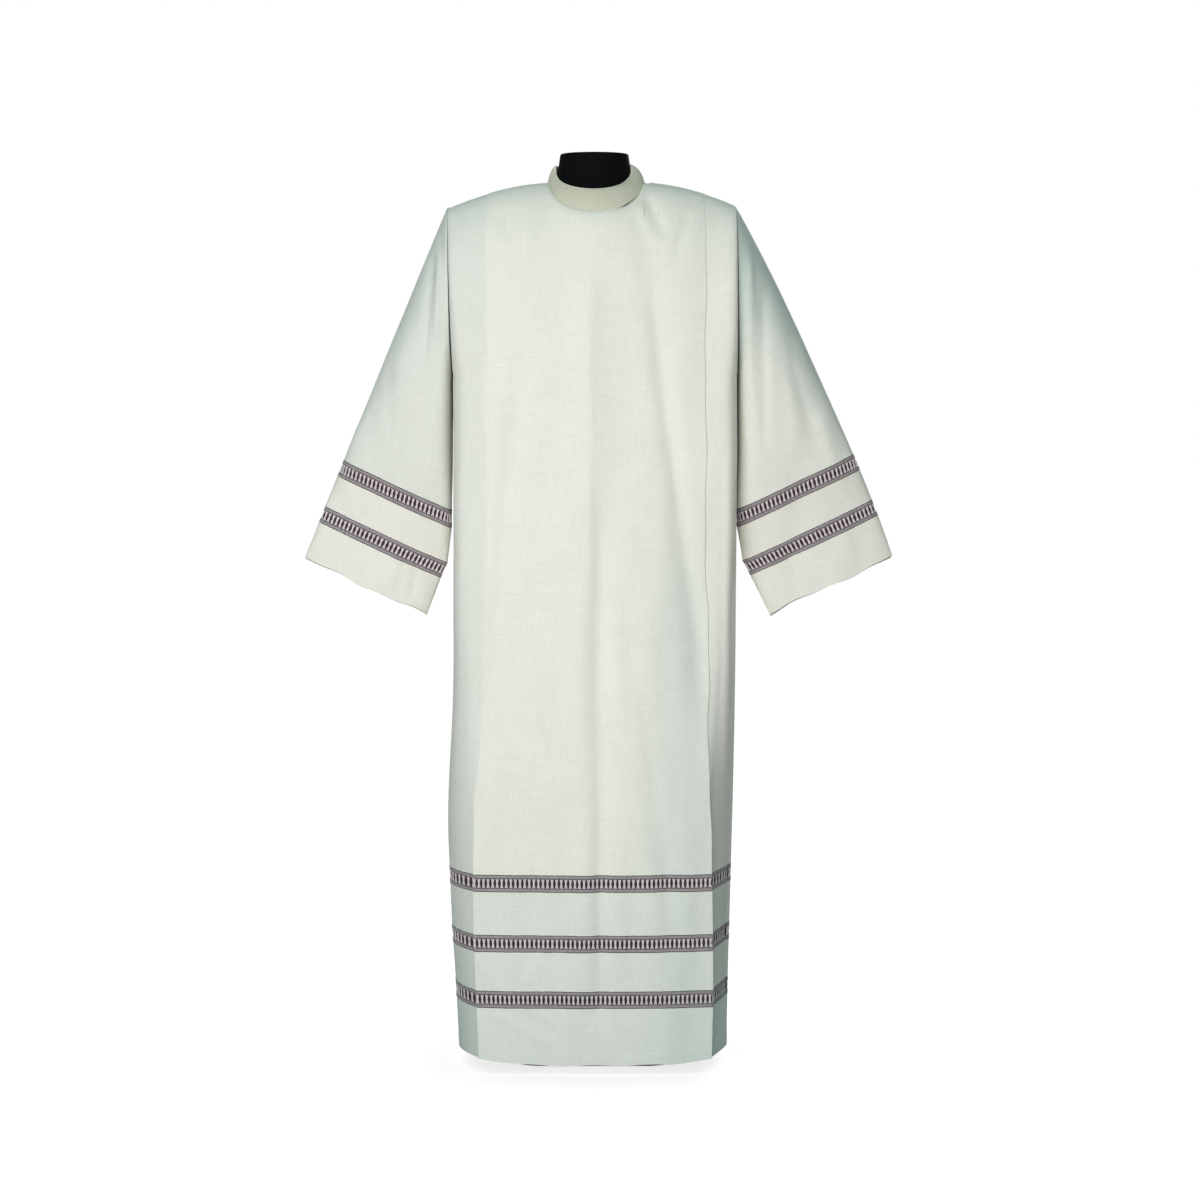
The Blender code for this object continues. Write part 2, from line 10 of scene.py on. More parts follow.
import bmesh
import bpy
import numpy as np
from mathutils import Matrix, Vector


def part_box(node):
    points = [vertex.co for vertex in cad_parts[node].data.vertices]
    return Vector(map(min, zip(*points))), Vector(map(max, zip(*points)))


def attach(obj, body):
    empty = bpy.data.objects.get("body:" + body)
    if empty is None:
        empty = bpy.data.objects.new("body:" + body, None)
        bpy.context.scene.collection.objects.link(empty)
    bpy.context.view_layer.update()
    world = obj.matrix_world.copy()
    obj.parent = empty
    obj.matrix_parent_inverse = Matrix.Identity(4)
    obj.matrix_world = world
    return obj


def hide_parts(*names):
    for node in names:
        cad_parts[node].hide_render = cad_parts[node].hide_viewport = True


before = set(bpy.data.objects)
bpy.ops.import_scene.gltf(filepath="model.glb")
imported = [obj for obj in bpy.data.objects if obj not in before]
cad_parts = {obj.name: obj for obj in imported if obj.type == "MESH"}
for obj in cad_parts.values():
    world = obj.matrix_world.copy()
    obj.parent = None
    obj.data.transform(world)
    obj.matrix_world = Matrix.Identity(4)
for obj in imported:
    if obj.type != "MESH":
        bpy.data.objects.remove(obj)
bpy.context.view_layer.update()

# ------------------------------------------------------------------ stand
# A steel base plate, a flange bolted to it, a pole and a socket that carries the torso, all
# under a black powder coat. They are turned or cut from plate, with their edges broken, and
# the pole is clamped in the flange and the socket.
PLATE_CORNER = 0.060     # radius of the plate's corners
PLATE_EDGE = 0.0015      # its broken edge
TURNED_EDGES = {"base_flange": 0.0012, "pole": 0.0008, "socket": 0.0015}
POWDER_GRAIN = 0.0006    # size of the coat's orange peel


def linear(code):
    """An sRGB colour, given as hex, as a linear one with alpha."""
    parts = [int(code[i:i + 2], 16) / 255 for i in (1, 3, 5)]
    return (*[p / 12.92 if p <= 0.04045 else ((p + 0.055) / 1.055) ** 2.4 for p in parts], 1.0)


def feed(node, inputs):
    """Sets a node's inputs to values or hex colours, or links them to sockets or nodes."""
    for name, value in dict(inputs).items():
        if isinstance(value, bpy.types.Node):
            value = next(output for output in value.outputs if output.enabled)
        if isinstance(value, bpy.types.NodeSocket):
            node.id_data.links.new(value, node.inputs[name])
        elif str(value).startswith("#"):
            node.inputs[name].default_value = linear(value)
        else:
            node.inputs[name].default_value = value


def add_node(tree, kind, inputs=(), **settings):
    """Adds a node with its settings and inputs."""
    node = tree.nodes.new(kind)
    for name, value in settings.items():
        setattr(node, name, value)
    feed(node, inputs)
    return node


def new_material(name, inputs):
    """A material with its own Principled shader, and that material's tree and shader."""
    material = bpy.data.materials.new(name)
    material.use_nodes = True
    shader = material.node_tree.nodes["Principled BSDF"]
    feed(shader, inputs)
    return material, material.node_tree, shader


def add_grain(tree, shader, size, strength, depth, detail=2.0):
    """Gives a material's surface a fine grain, and returns its noise."""
    place = add_node(tree, "ShaderNodeTexCoord")
    noise = add_node(tree, "ShaderNodeTexNoise", {
        "Vector": place.outputs["Object"], "Scale": 1 / size, "Detail": detail})
    bump = add_node(tree, "ShaderNodeBump", {
        "Strength": strength, "Distance": depth, "Height": noise})
    feed(shader, {"Normal": bump})
    return noise


def points_at(x, y, z):
    """Points from their coordinates, any of which may be one number for all of them."""
    return np.stack(np.broadcast_arrays(x, y, z), axis=-1)


def make_mesh(name, points, faces, materials, uv=None, edges=()):
    """A mesh object. uv gives each corner of each face its place on the flat cloth."""
    mesh = bpy.data.meshes.new(name)
    mesh.from_pydata(np.asarray(points).tolist(), edges, faces)
    for material in materials:
        mesh.materials.append(material)
    if uv is not None:
        layer = mesh.uv_layers.new(name="Flat")
        layer.data.foreach_set("uv", np.asarray(uv, dtype=np.float32).ravel())
    mesh.shade_smooth()
    piece = bpy.data.objects.new(name, mesh)
    bpy.context.scene.collection.objects.link(piece)
    return piece


def made_plain(piece, sharp_angle=50):
    """Applies a piece's modifiers, and keeps edges sharper than the angle crisp."""
    graph = bpy.context.evaluated_depsgraph_get()
    piece.data = bpy.data.meshes.new_from_object(piece.evaluated_get(graph))
    piece.modifiers.clear()
    piece.data.shade_smooth()
    piece.data.set_sharp_from_angle(angle=math.radians(sharp_angle))
    return piece


def lofted(name, rings, materials, sharp_angle=50):
    """A closed solid through rings of points, with its ends filled."""
    count = len(rings[0])
    last = (len(rings) - 1) * count
    faces = []
    for low in range(0, last, count):
        for i in range(count):
            j = (i + 1) % count
            faces.append((low + i, low + j, low + count + j, low + count + i))
    faces += [tuple(range(count - 1, -1, -1)), tuple(range(last, last + count))]
    piece = make_mesh(name, np.concatenate(rings), faces, materials)
    piece.data.set_sharp_from_angle(angle=math.radians(sharp_angle))
    return piece


def broken_edges(low, high, edge):
    """Heights and insets of the rings of an upright piece with softened rims."""
    return ((low, edge), (low + edge / 3, edge / 3), (low + edge, 0.0),
            (high - edge, 0.0), (high - edge / 3, edge / 3), (high, edge))


def turned(name, node, edge, materials, sides=64):
    """A round upright piece in the place of a node, with softened rims."""
    low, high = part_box(node)
    radius = (high.x - low.x) / 2
    angle = np.arange(sides) * 2 * math.pi / sides
    rings = []
    for height, inset in broken_edges(low.z, high.z, edge):
        rings.append(points_at((low.x + high.x) / 2 + (radius - inset) * np.cos(angle),
                               (radius - inset) * np.sin(angle), height))
    return lofted(name, rings, materials)


def shown_for(piece, node):
    """Lets a piece ride the one body in the place of a node, and hides the node."""
    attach(piece, "root")
    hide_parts(node)


# Powder coat: polyester baked on steel, satin black, with the faint orange peel of the
# melted powder, so highlights are soft and a little broken.
powder_coat, tree, shader = new_material("satin black powder coat", {
    "Roughness": 0.42, "Base Color": "#1B1C1E"})
add_grain(tree, shader, POWDER_GRAIN, strength=0.15, depth=0.0002)

plate_low, plate_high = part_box("form_base_plate")
right, left = plate_low.x + PLATE_CORNER, plate_high.x - PLATE_CORNER
front, back = plate_low.y + PLATE_CORNER, plate_high.y - PLATE_CORNER
corners = ((left, back), (right, back), (right, front), (left, front))
plate_rings = []
for height, inset in broken_edges(plate_low.z, plate_high.z, PLATE_EDGE):
    reach = PLATE_CORNER - inset
    ring = []
    for quarter, (x, y) in enumerate(corners):
        angle = np.linspace(0, math.pi / 2, 13) + quarter * math.pi / 2
        ring.append(points_at(x + reach * np.cos(angle), y + reach * np.sin(angle), height))
    plate_rings.append(np.concatenate(ring))
plate = lofted("base_plate", plate_rings, [powder_coat])
shown_for(plate, "form_base_plate")
for name, edge in TURNED_EDGES.items():
    shown_for(turned(name, "form_" + name, edge, [powder_coat]), "form_" + name)

# ------------------------------------------------------------------ dress form
# A torso from the hips to the neck with no limbs: a moulded shell under a cover of black
# jersey, pulled tight and glued down. The neck ends in a flat moulded cap.
FORM_POINTS = 96
FORM_ROWS = 110
DRAWN_IN = 0.988         # the cover lies this much inside the form's stated sections
LOWER_EDGE = (0.006, 0.0015, 0.0)        # how far the rings of its lower edge turn in
# Rings of the cap's edge: height over the neck's top, how far inside the rim, and lift. The
# rings after them lie at shares of the way to the middle, on a dome.
CAP_EDGE = ((-0.001, 0.0015, 0.0), (0.0, 0.0002, 0.0003), (0.0, 0.0010, 0.0007))
CAP_SHARES = (0.3, 0.55, 0.8, 0.95)
CAP_RISE = 0.0020        # height of the dome
RIM = 0.0014             # radius of the neck's upper rim
JERSEY_GRAIN = 0.0012    # size of the jersey's stitches, drawn coarser than the real 0.8 mm
CAP_ETCH = 1 / 1600      # size of the cap's etched texture
FormSection = namedtuple("FormSection", "height half front back")
FORM = [FormSection(*row) for row in (
    (0.7000, 0.150, 0.090, 0.095),
    (0.7600, 0.166, 0.098, 0.108),
    (0.8600, 0.168, 0.100, 0.110),
    (0.9600, 0.158, 0.097, 0.098),
    (1.0600, 0.152, 0.094, 0.088),
    (1.1800, 0.166, 0.102, 0.094),
    (1.3000, 0.184, 0.104, 0.098),
    (1.3900, 0.198, 0.086, 0.086),
    (1.4350, 0.196, 0.068, 0.068),
    (1.4650, 0.180, 0.056, 0.054),
    (1.4870, 0.144, 0.048, 0.045),
    (1.5000, 0.099, 0.046, 0.044),
    (1.5108, 0.072, 0.050, 0.048),
    (1.5260, 0.0660, 0.053, 0.050),
    (1.5640, 0.0590, 0.054, 0.054))]
pole_low, pole_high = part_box("form_pole")
AXIS_X = (pole_low.x + pole_high.x) / 2      # the garment's middle, from the frame's origin


def smooth(table, name, height):
    """Reads a column of a table at any heights, along a smooth curve through its rows."""
    heights = np.array([row.height for row in table])
    values = np.array([getattr(row, name) for row in table])
    slopes = np.gradient(values, heights)
    height = np.clip(height, heights[0], heights[-1])
    k = np.clip(np.searchsorted(heights, height, side="right") - 1, 0, len(heights) - 2)
    span = heights[k + 1] - heights[k]
    t = (height - heights[k]) / span
    return ((2 * t ** 3 - 3 * t ** 2 + 1) * values[k]
            + (t ** 3 - 2 * t ** 2 + t) * span * slopes[k]
            + (3 * t ** 2 - 2 * t ** 3) * values[k + 1]
            + (t ** 3 - t ** 2) * span * slopes[k + 1])


def mix(a, b, t):
    return a + (b - a) * t


def form_ring(height, inset=0.0, rise=0.0):
    """One ring of the form."""
    angle = np.arange(FORM_POINTS) * 2 * math.pi / FORM_POINTS
    half, front, back = (smooth(FORM, name, height) for name in ("half", "front", "back"))
    reach = np.where(np.sin(angle) < 0, front, back)
    return points_at(AXIS_X + (half * DRAWN_IN - inset) * np.cos(angle),
                     (reach * DRAWN_IN - inset) * np.sin(angle), height + rise)


# Black jersey: knitted viscose with a little elastane, stretched tight. It swallows nearly
# all light, and only grazing light brings out a faint grey-green bloom.
jersey, tree, shader = new_material("tight black jersey", {
    "Roughness": 0.8, "Base Color": "#040406", "Specular IOR Level": 0.12,
    "Sheen Weight": 0.05, "Sheen Roughness": 0.3, "Sheen Tint": "#7C8F86"})
add_grain(tree, shader, JERSEY_GRAIN, strength=0.3, depth=0.0003)

# Moulded cap: black ABS with a fine etched texture, so its edge catches a dull glint.
cap_plastic, tree, shader = new_material("etched black ABS", {
    "Roughness": 0.6, "Base Color": "#0B0D0E"})
add_grain(tree, shader, CAP_ETCH, strength=0.2, depth=0.0002, detail=3.0)

neck_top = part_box("form_torso")[1].z - CAP_RISE - RIM / 2
form_rings = [form_ring(FORM[0].height, inset) for inset in LOWER_EDGE]
for height in np.linspace(FORM[0].height + 0.002, neck_top - RIM, FORM_ROWS):
    form_rings.append(form_ring(height))
for turn in np.linspace(0.25, 1.0, 4) * math.pi / 2:
    form_rings.append(form_ring(neck_top - RIM + RIM * math.sin(turn),
                                RIM * (1 - math.cos(turn))))
torso = lofted("form_torso_cover", form_rings, [jersey], sharp_angle=60)
cap_rings = [form_ring(neck_top + low, RIM + inset, rise) for low, inset, rise in CAP_EDGE]
for share in CAP_SHARES:
    ring = form_ring(neck_top, RIM + CAP_EDGE[0][1])
    ring = mix(ring, ring.mean(axis=0), share)
    ring[:, 2] = neck_top + CAP_EDGE[-1][2] + CAP_RISE * (1 - (1 - share) ** 2)
    cap_rings.append(ring)
neck_cap = lofted("form_neck_cap", cap_rings, [cap_plastic], sharp_angle=40)
for piece in (torso, neck_cap):
    shown_for(piece, "form_torso")

# ------------------------------------------------------------------ front and back
# Front and back of ivory cloth, each in one piece from the first insertion to the shoulder
# and the neck, with two pleats pressed in along their whole length. They are sewn to each
# other at the sides and shoulders, and hang from the form's shoulders.
CLOTH = 0.0008           # thickness of the cloth as it is drawn
SEAM_ROLL = 0.0007       # how far the cloth turns in at a seam
SEAM_WIDTH = 0.0030      # the width over which it does
LAYER = 0.0020           # from one layer of a pleat to the next at the insertions
PANEL_LAYER = 0.0014     # the same in the plain cloth above them
SHOULDER_LAYER = 0.0005  # the same where they are sewn flat into the shoulder seam
UNDERARM = 1.190         # height of the lowest point of the armholes
DOME = 2.6               # how square the body is over the shoulders, 2 is an ellipse
SHOULDER_SIDE = 1.515    # height of the shoulder seam beside the neck
SHOULDER_FROM = 0.0873   # the shoulders slope from here outwards
SHOULDER_DROP = (0.075, 1.18)            # how steeply, and how much more further out
SHOULDER_SEAM = 0.0004   # half the gap where front and back meet on the shoulder
ARMHOLE_DEPTH = 0.078
SIDES = {1: "left", -1: "right"}
NECK_HALF = {"right": 0.0750, "left": 0.0828}
NECK_REACH = {"front": 0.085, "back": 0.066}
NECK_HEIGHT = {"front": 1.4625, "back": 1.507}
NECK_DIP = {"right": 1.0, "left": 1.5}   # how late the neckline dips to its middle
NECK_BEND = (1.5, 0.5)   # and how sharply it turns at its corners, lower down and at its edge
NECK_OPENING = 0.0072    # the neck's opening gapes this much below the collar's outer end
NECK_GAPE = ((0.25, 0.70), (1.02, 0.92))     # and starts and ends at these shares of NECK_HALF
INSERTION = 0.029        # height of one openwork insertion
BANDS = (0.342, 0.2392, 0.1432)      # top edge of each hem insertion
HEM_MIDDLE = 0.0157      # height of the hem's edge over the floor in the middle
HEM_SIDE = 0.0250        # and from the pleats on
# left and right are half widths, pleat_left and pleat_right the pressed edges, middle and
# fold the depth at the middle and at the pleats, tuck the depth of a pleat, and drawn how
# much the sides slant back from their pleats, as a share of SIDE_SLANT.
Section = namedtuple("Section", "height right left pleat_right pleat_left middle fold tuck drawn")
SECTIONS = [Section(*row) for row in (
    (0.000, 0.2350, 0.2300, 0.1955, 0.1990, 0.1370, 0.1270, 0.045, 1.0),
    (0.130, 0.2405, 0.2318, 0.2003, 0.2018, 0.1360, 0.1270, 0.045, 1.0),
    (0.300, 0.2485, 0.2360, 0.2050, 0.2005, 0.1345, 0.1260, 0.045, 1.0),
    (0.460, 0.2518, 0.2398, 0.2015, 0.1965, 0.1320, 0.1240, 0.044, 0.85),
    (0.620, 0.2440, 0.2420, 0.1900, 0.1925, 0.1300, 0.1215, 0.043, 0.35),
    (0.850, 0.2417, 0.2430, 0.1840, 0.1877, 0.1280, 0.1195, 0.041, 0.0),
    (UNDERARM, 0.2410, 0.2425, 0.1805, 0.1864, 0.1260, 0.1170, 0.038, 0.0))]
SIDE_SLANT = {"right": 0.45, "left": 0.60}
SHOULDER_TUCK = 0.022
CORNER = {"right": 2.5, "left": 2.1}     # squareness of the corner beside a pleat
CHEST_CORNER = {"right": 4.2, "left": 5.0}  # beside the sleeves, where the sides lie flatter
NECK_SOFT = 0.060        # the neckline's corners fade out in the cloth below them
ARMHOLE_SOFT = 0.10      # and so do the ends of the armholes
SPREAD = np.linspace(-2.0, 2.0, 13)      # where a softened line is sampled
SPREAD_WEIGHTS = np.exp(-SPREAD ** 2) / np.exp(-SPREAD ** 2).sum()
SEAM_FADES = (0.88, 0.78)                # reliefs end from here on to the shoulder, and the side
SIDE_WIDTH = 0.15        # from a side seam to its pleat
DEEPEST_LAYER = 2
PROBE = 0.02             # step along the surface that its direction is measured over
PLEAT_ROOT = 0.15        # share of a side over which it comes out from behind its pleat
PLEAT_WAVES = ((0.0011, 19.0, 0.4), (0.0007, 47.0, 2.0))  # how far and how its edge wanders
TIP_X = {"right": 0.2495, "left": 0.2415}    # where the shoulder seam ends

# Folds and creases, in millimetres over the face as seen from the front or the back: x and
# z of one end and of the other, half width, and how far outwards. The construction has the
# folds too. Of the creases, one in each panel's middle is pressed to a line.
FOLDS = {
    "front": ((-18, 1330, -14, 120, 34, 4.0), (10, 980, 13, 100, 16, -5.0),
              (94, 1380, 188, 620, 21, -7.5), (-118, 1210, -182, 570, 24, -5.0),
              (50, 800, 126, 290, 20, -4.0)),
    "back": ((20, 1350, 12, 150, 30, 2.6), (-20, 1300, -34, 250, 20, -5.0),
             (-100, 1330, -170, 600, 24, -6.5), (110, 1280, 165, 500, 24, -6.0)),
}
FOLD_END = 0.08          # a fold ends over this height on either side of its end
PRESSED = {"front": ((-4, 1400, -7, 760, 9, 2.0),), "back": ((4, 1440, 6, 900, 10, 1.3),)}
CREASES = {
    "front": (
        (-24, 860, -26, 110, 13, 1.6), (42, 840, 45, 120, 15, 1.6),
        (4, 830, 11, 20, 9, -1.6), (124, 1260, 183, 840, 12, 2.2),
        (98, 1330, 110, 1174, 9, -2.2), (110, 1174, 149, 922, 9, -2.4),
        (149, 922, 186, 690, 9, -2.2), (-100, 1240, -150, 740, 14, 1.8),
        (-158, 1150, -176, 700, 8, 1.2), (72, 1480, 106, 1400, 10, 2.6),
        (84, 1496, 128, 1412, 8, -4.4), (110, 1476, 130, 1400, 8, 1.8),
        (160, 1462, 134, 1376, 9, -2.8), (-166, 1470, -126, 1396, 13, -1.3),
        (-128, 1450, -96, 1380, 12, 1.0), (-126, 130, -48, 290, 10, 1.1),
        (-150, 128, -86, 240, 8, -0.9), (-180, 108, -70, 36, 9, 1.2),
        (-130, 110, -58, 60, 8, -1.0), (60, 690, 100, 420, 11, 1.4),
        (118, 430, 132, 180, 13, -1.6), (150, 610, 160, 150, 14, 1.4),
        (205, 1000, 208, 0, 70, -6.5), (72, 960, 90, 60, 36, 3.0),
        (-94, 640, -108, 210, 18, -1.4), (-64, 1160, -58, 560, 20, -1.0),
        (46, 1200, 60, 820, 18, 1.2), (214, 1120, 222, 420, 10, -1.8),
        (-216, 1120, -228, 460, 10, -1.6)),
    "back": (
        (30, 900, 36, 120, 14, 1.6), (-60, 1120, -82, 300, 16, 1.6),
        (70, 1360, 110, 700, 12, -2.0), (-130, 1240, -176, 780, 11, -2.0),
        (140, 660, 158, 200, 13, 1.6),
        (-120, 520, -90, 130, 12, -1.4), (-110, 1470, -70, 1380, 10, -1.2),
        (120, 1466, 86, 1380, 11, 1.2), (150, 150, 60, 40, 10, 1.2),
        (-40, 220, -130, 50, 9, -1.0), (216, 1120, 224, 420, 10, -1.6),
        (-218, 1120, -230, 460, 10, -1.8)),
}
CREASE_END = (-0.0375, 0.2125)           # shares of its length that a crease ends over

# Slow swells of hanging cloth: how many cross a metre sideways and upwards, height, phase.
SWELLS = ((4.1, 0.55, 0.0009, 0.7), (7.3, -0.80, 0.0007, 2.1), (11.9, 1.30, 0.0005, 4.4),
          (17.0, -2.10, 0.00035, 1.3), (3.0, 5.30, 0.0004, 5.2))
PUCKER_PITCH = 0.0105    # small gathers that the insertions' stitching draws in the cloth
PUCKER_DEPTH = 0.00035
PUCKER_REACH = 0.009


def fade(value, start, end):
    """Goes smoothly from 0 where value is start to 1 where it is end, or beyond it."""
    share = np.clip((value - start) / (end - start), 0.0, 1.0)
    return share * share * (3 - 2 * share)


def bell(distance, width):
    """1 where distance is 0, and falling off to nothing at some twice the width."""
    return np.exp(-(distance / width) ** 2)


def waves(x, rows):
    """A sum of waves, each with its height, its turn in radians over a metre, and start."""
    return sum(height * np.sin(turns * x + start) for height, turns, start in rows)


def unit(vectors):
    """Vectors of the same directions and of length 1."""
    return vectors / np.linalg.norm(vectors, axis=-1, keepdims=True)


def crease_relief(creases, x, z, pressed=False):
    """How far creases raise the cloth at points of the face. Pressed ones come to a line."""
    relief = np.zeros(np.broadcast(x, z).shape)
    for crease in creases:
        x1, z1, x2, z2, reach, depth = (size / 1000 for size in crease)
        run_x, run_z = x2 - x1, z2 - z1
        length = math.hypot(run_x, run_z)
        along = ((x - x1) * run_x + (z - z1) * run_z) / length ** 2
        aside = ((x - x1) * run_z - (z - z1) * run_x) / length
        shape = np.exp(-np.abs(aside / reach)) if pressed else bell(aside, reach)
        ends = fade(along, *CREASE_END) * fade(1 - along, *CREASE_END)
        relief = relief + depth * shape * ends
    return relief


def swell_relief(x, z, turn):
    """The slow swells; turn shifts them, so that no two faces are alike."""
    relief = np.zeros(np.broadcast(x, z).shape)
    for across, upward, height, phase in SWELLS:
        angle = 2 * math.pi * (across * x + upward * z) + phase + turn
        relief = relief + height * np.sin(angle)
    return relief


def pucker_relief(x, distance, turn):
    """Gathers beside a stitched edge, by the distance from that edge."""
    uneven = 1 + 0.5 * np.sin(47 * x + turn) + 0.3 * np.sin(129 * x - turn)
    wave = np.sin(2 * math.pi * x / PUCKER_PITCH + 2.5 * np.sin(31 * x + turn))
    return PUCKER_DEPTH * uneven * wave * np.exp(-np.abs(distance) / PUCKER_REACH)


SECTION_HEIGHTS = np.linspace(0.0, UNDERARM, 1200)
SECTION_CURVES = {name: smooth(SECTIONS, name, SECTION_HEIGHTS) for name in Section._fields}


def level(height, side):
    """Edge, pleat, middle, fold, tuck and drawn of the section at heights, on one side."""
    names = (SIDES[side], "pleat_" + SIDES[side], "middle", "fold", "tuck", "drawn")
    return [np.interp(height, SECTION_HEIGHTS, SECTION_CURVES[name]) for name in names]


def pleat_edge(height, rise, side):
    """Distance of a pleat's pressed edge from the middle, with its slight wandering."""
    up = height + rise * (SHOULDER_SIDE - UNDERARM)
    rows = [(by, turns, start * side) for by, turns, start in PLEAT_WAVES]
    return level(height, side)[1] + waves(up, rows) * fade(up - BANDS[0], 0.0, 0.15)


def shoulder_height(x):
    run = np.maximum(np.abs(x) - SHOULDER_FROM, 0.0)
    return SHOULDER_SIDE - SHOULDER_DROP[0] * run - SHOULDER_DROP[1] * run ** 2


def panel_depth(x, height, side, panel):
    """How far out the flat part of a panel stands, with its largest folds."""
    pleat, middle, edge = level(height, side)[1:4]
    depth = mix(middle, edge, np.minimum(x / pleat, 1.0) ** 3)
    for fold in FOLDS[panel]:
        top_x, top_z, low_x, low_z, reach, out = (size / 1000 for size in fold)
        t = (top_z - height) / (top_z - low_z)
        inside = np.minimum(top_z - height, height - low_z)
        away = side * x - mix(top_x, low_x, t)
        depth = depth + out * bell(away, reach) * fade(inside, -FOLD_END, FOLD_END)
    return depth


def top_edge(x, rise, side, panel):
    """Depth and height of the neckline or shoulder above some points, softened lower down."""
    half, dip = NECK_HALF[SIDES[side]], NECK_DIP[SIDES[side]]
    bend = mix(*NECK_BEND, fade(rise, 0.6, 1.0))
    top_y = top_z = 0.0
    for offset, weight in zip(SPREAD, SPREAD_WEIGHTS):
        at = np.abs(x + offset * NECK_SOFT * (1 - rise) ** 0.7)
        reach = np.maximum(1 - (at / half) ** 2, 0.0) ** bend
        neck_z = mix(SHOULDER_SIDE, NECK_HEIGHT[panel], reach ** dip)
        if side > 0 and panel == "front":
            gape = 1.0
            for start, end in NECK_GAPE:
                gape = gape * fade(at / half, start, end)
            neck_z = neck_z - NECK_OPENING * gape
        top_y = top_y + weight * np.maximum(NECK_REACH[panel] * reach, SHOULDER_SEAM)
        top_z = top_z + weight * np.where(at < half, neck_z, shoulder_height(at))
    return top_y, top_z


def armhole_depth(height, rise, f):
    """How far forward the armhole reaches, softened in the cloth beside it."""
    share = np.where(rise > 0, rise, (height - UNDERARM) / (SHOULDER_SIDE - UNDERARM))
    soft = ARMHOLE_SOFT * (1 - f) * np.minimum(2 * (1 - share), 1.0)
    depth = 0.0
    for offset, weight in zip(SPREAD, SPREAD_WEIGHTS):
        turn = 2 * (share + offset * soft) - 1
        depth = depth + weight * ARMHOLE_DEPTH * np.sqrt(np.maximum(1 - turn ** 2, 0.0))
    return np.maximum(depth, np.where(rise > 0, SHOULDER_SEAM, 0.0001))


def face_points(x, height, rise, side, panel):
    """Points of the flat part of a panel. rise is 0 up to the armholes, 1 on the shoulder."""
    flat = points_at(side * x, panel_depth(x, height, side, panel), height)
    if not rise.any():
        return flat
    top_y, top_z = top_edge(x, rise, side, panel)
    high = mix(UNDERARM, top_z, rise)
    dome = np.sqrt(np.maximum(1.0 - rise ** DOME, 0.0))
    depth = mix(top_y, panel_depth(x, high, side, panel), dome)
    return np.where((rise > 0)[..., None], points_at(side * x, depth, high), flat)


def side_points(f, height, rise, side, panel):
    """Points from a pleat, f = 0, round the corner to the side seam or armhole, f = 1."""
    name = SIDES[side]
    edge, pleat = level(height, side)[0], pleat_edge(height, rise, side)
    start = face_points(pleat, height, rise, side, panel)
    edge_y = armhole_depth(height, rise, f)
    edge = np.where(rise > 0, mix(edge, TIP_X[name], rise), edge)
    drawn = np.clip(level(height, side)[5], 0.0, 1.0)
    power = 2 / mix(CHEST_CORNER[name], CORNER[name], drawn)
    across = math.sin(f * math.pi / 2) ** power
    along = max(math.cos(f * math.pi / 2), 0.0) ** power
    slant = SIDE_SLANT[name] * drawn * across
    x = mix(pleat, edge, across)
    y = mix(edge_y, start[..., 1] * (1 - slant), along)
    z = np.where(rise > 0, mix(UNDERARM, shoulder_height(x), rise), height)
    return points_at(side * x, y, z)


def base_points(column, height, rise, panel):
    """One column of a panel without its pleats, with the front turned to -Y."""
    side, zone, f = column
    pleat, tuck = pleat_edge(height, rise, side), level(height, side)[4]
    tuck = mix(tuck, SHOULDER_TUCK, rise)
    if zone == "side":
        points = side_points(f, height, rise, side, panel)
    else:
        neck = NECK_HALF[SIDES[side]]
        x = {"neck": neck * math.cos(f * math.pi / 2) + 0 * height,
             "shoulder": mix(neck, pleat - tuck, f),
             "tuck": mix(pleat - tuck, pleat, f)}[zone]
        points = face_points(x, height, rise, side, panel)
    if panel == "front":
        points[..., 1] *= -1
    return points


def across_and_outward(column, height, rise, panel):
    """Unit directions at a column: away from the middle, and square to the cloth."""
    side, zone, f = column
    if zone == "side" and f < PLEAT_ROOT:
        # The side comes out square from behind the pleat, and then turns to its own slope.
        behind = across_and_outward((side, "tuck", 1.0), height, rise, panel)
        beside = across_and_outward((side, "side", PLEAT_ROOT), height, rise, panel)
        return beside[0], unit(mix(behind[1], beside[1], f / PLEAT_ROOT))
    low, high = max(f - PROBE, 0.0), min(f + PROBE, 1.0)
    across = (base_points((side, zone, high), height, rise, panel)
              - base_points((side, zone, low), height, rise, panel))
    if zone == "neck":
        across = -across
    up = (base_points(column, height, np.minimum(rise + PROBE, 1.0) * (rise > 0), panel)
          - base_points(column, height, np.maximum(rise - PROBE, 0.0) * (rise > 0), panel))
    facing = 1 if panel == "front" else -1
    up = np.where((rise > 0)[:, None], up, (0.0, 0.0, 1.0))
    up = np.where((rise >= 1)[:, None], (0.0, facing, 0.0), up)
    return unit(across), unit(np.cross(across, up) * side * facing)


# A column of the panel: where it lies, how many layers in, and how far it stands out
# sideways where the cloth turns round the edge of a pleat.
Column = namedtuple("Column", "side zone f layers bulge")
SIDE_COUNT, TUCK_COUNT, SHOULDER_COUNT, NECK_COUNT = 28, 10, 12, 22


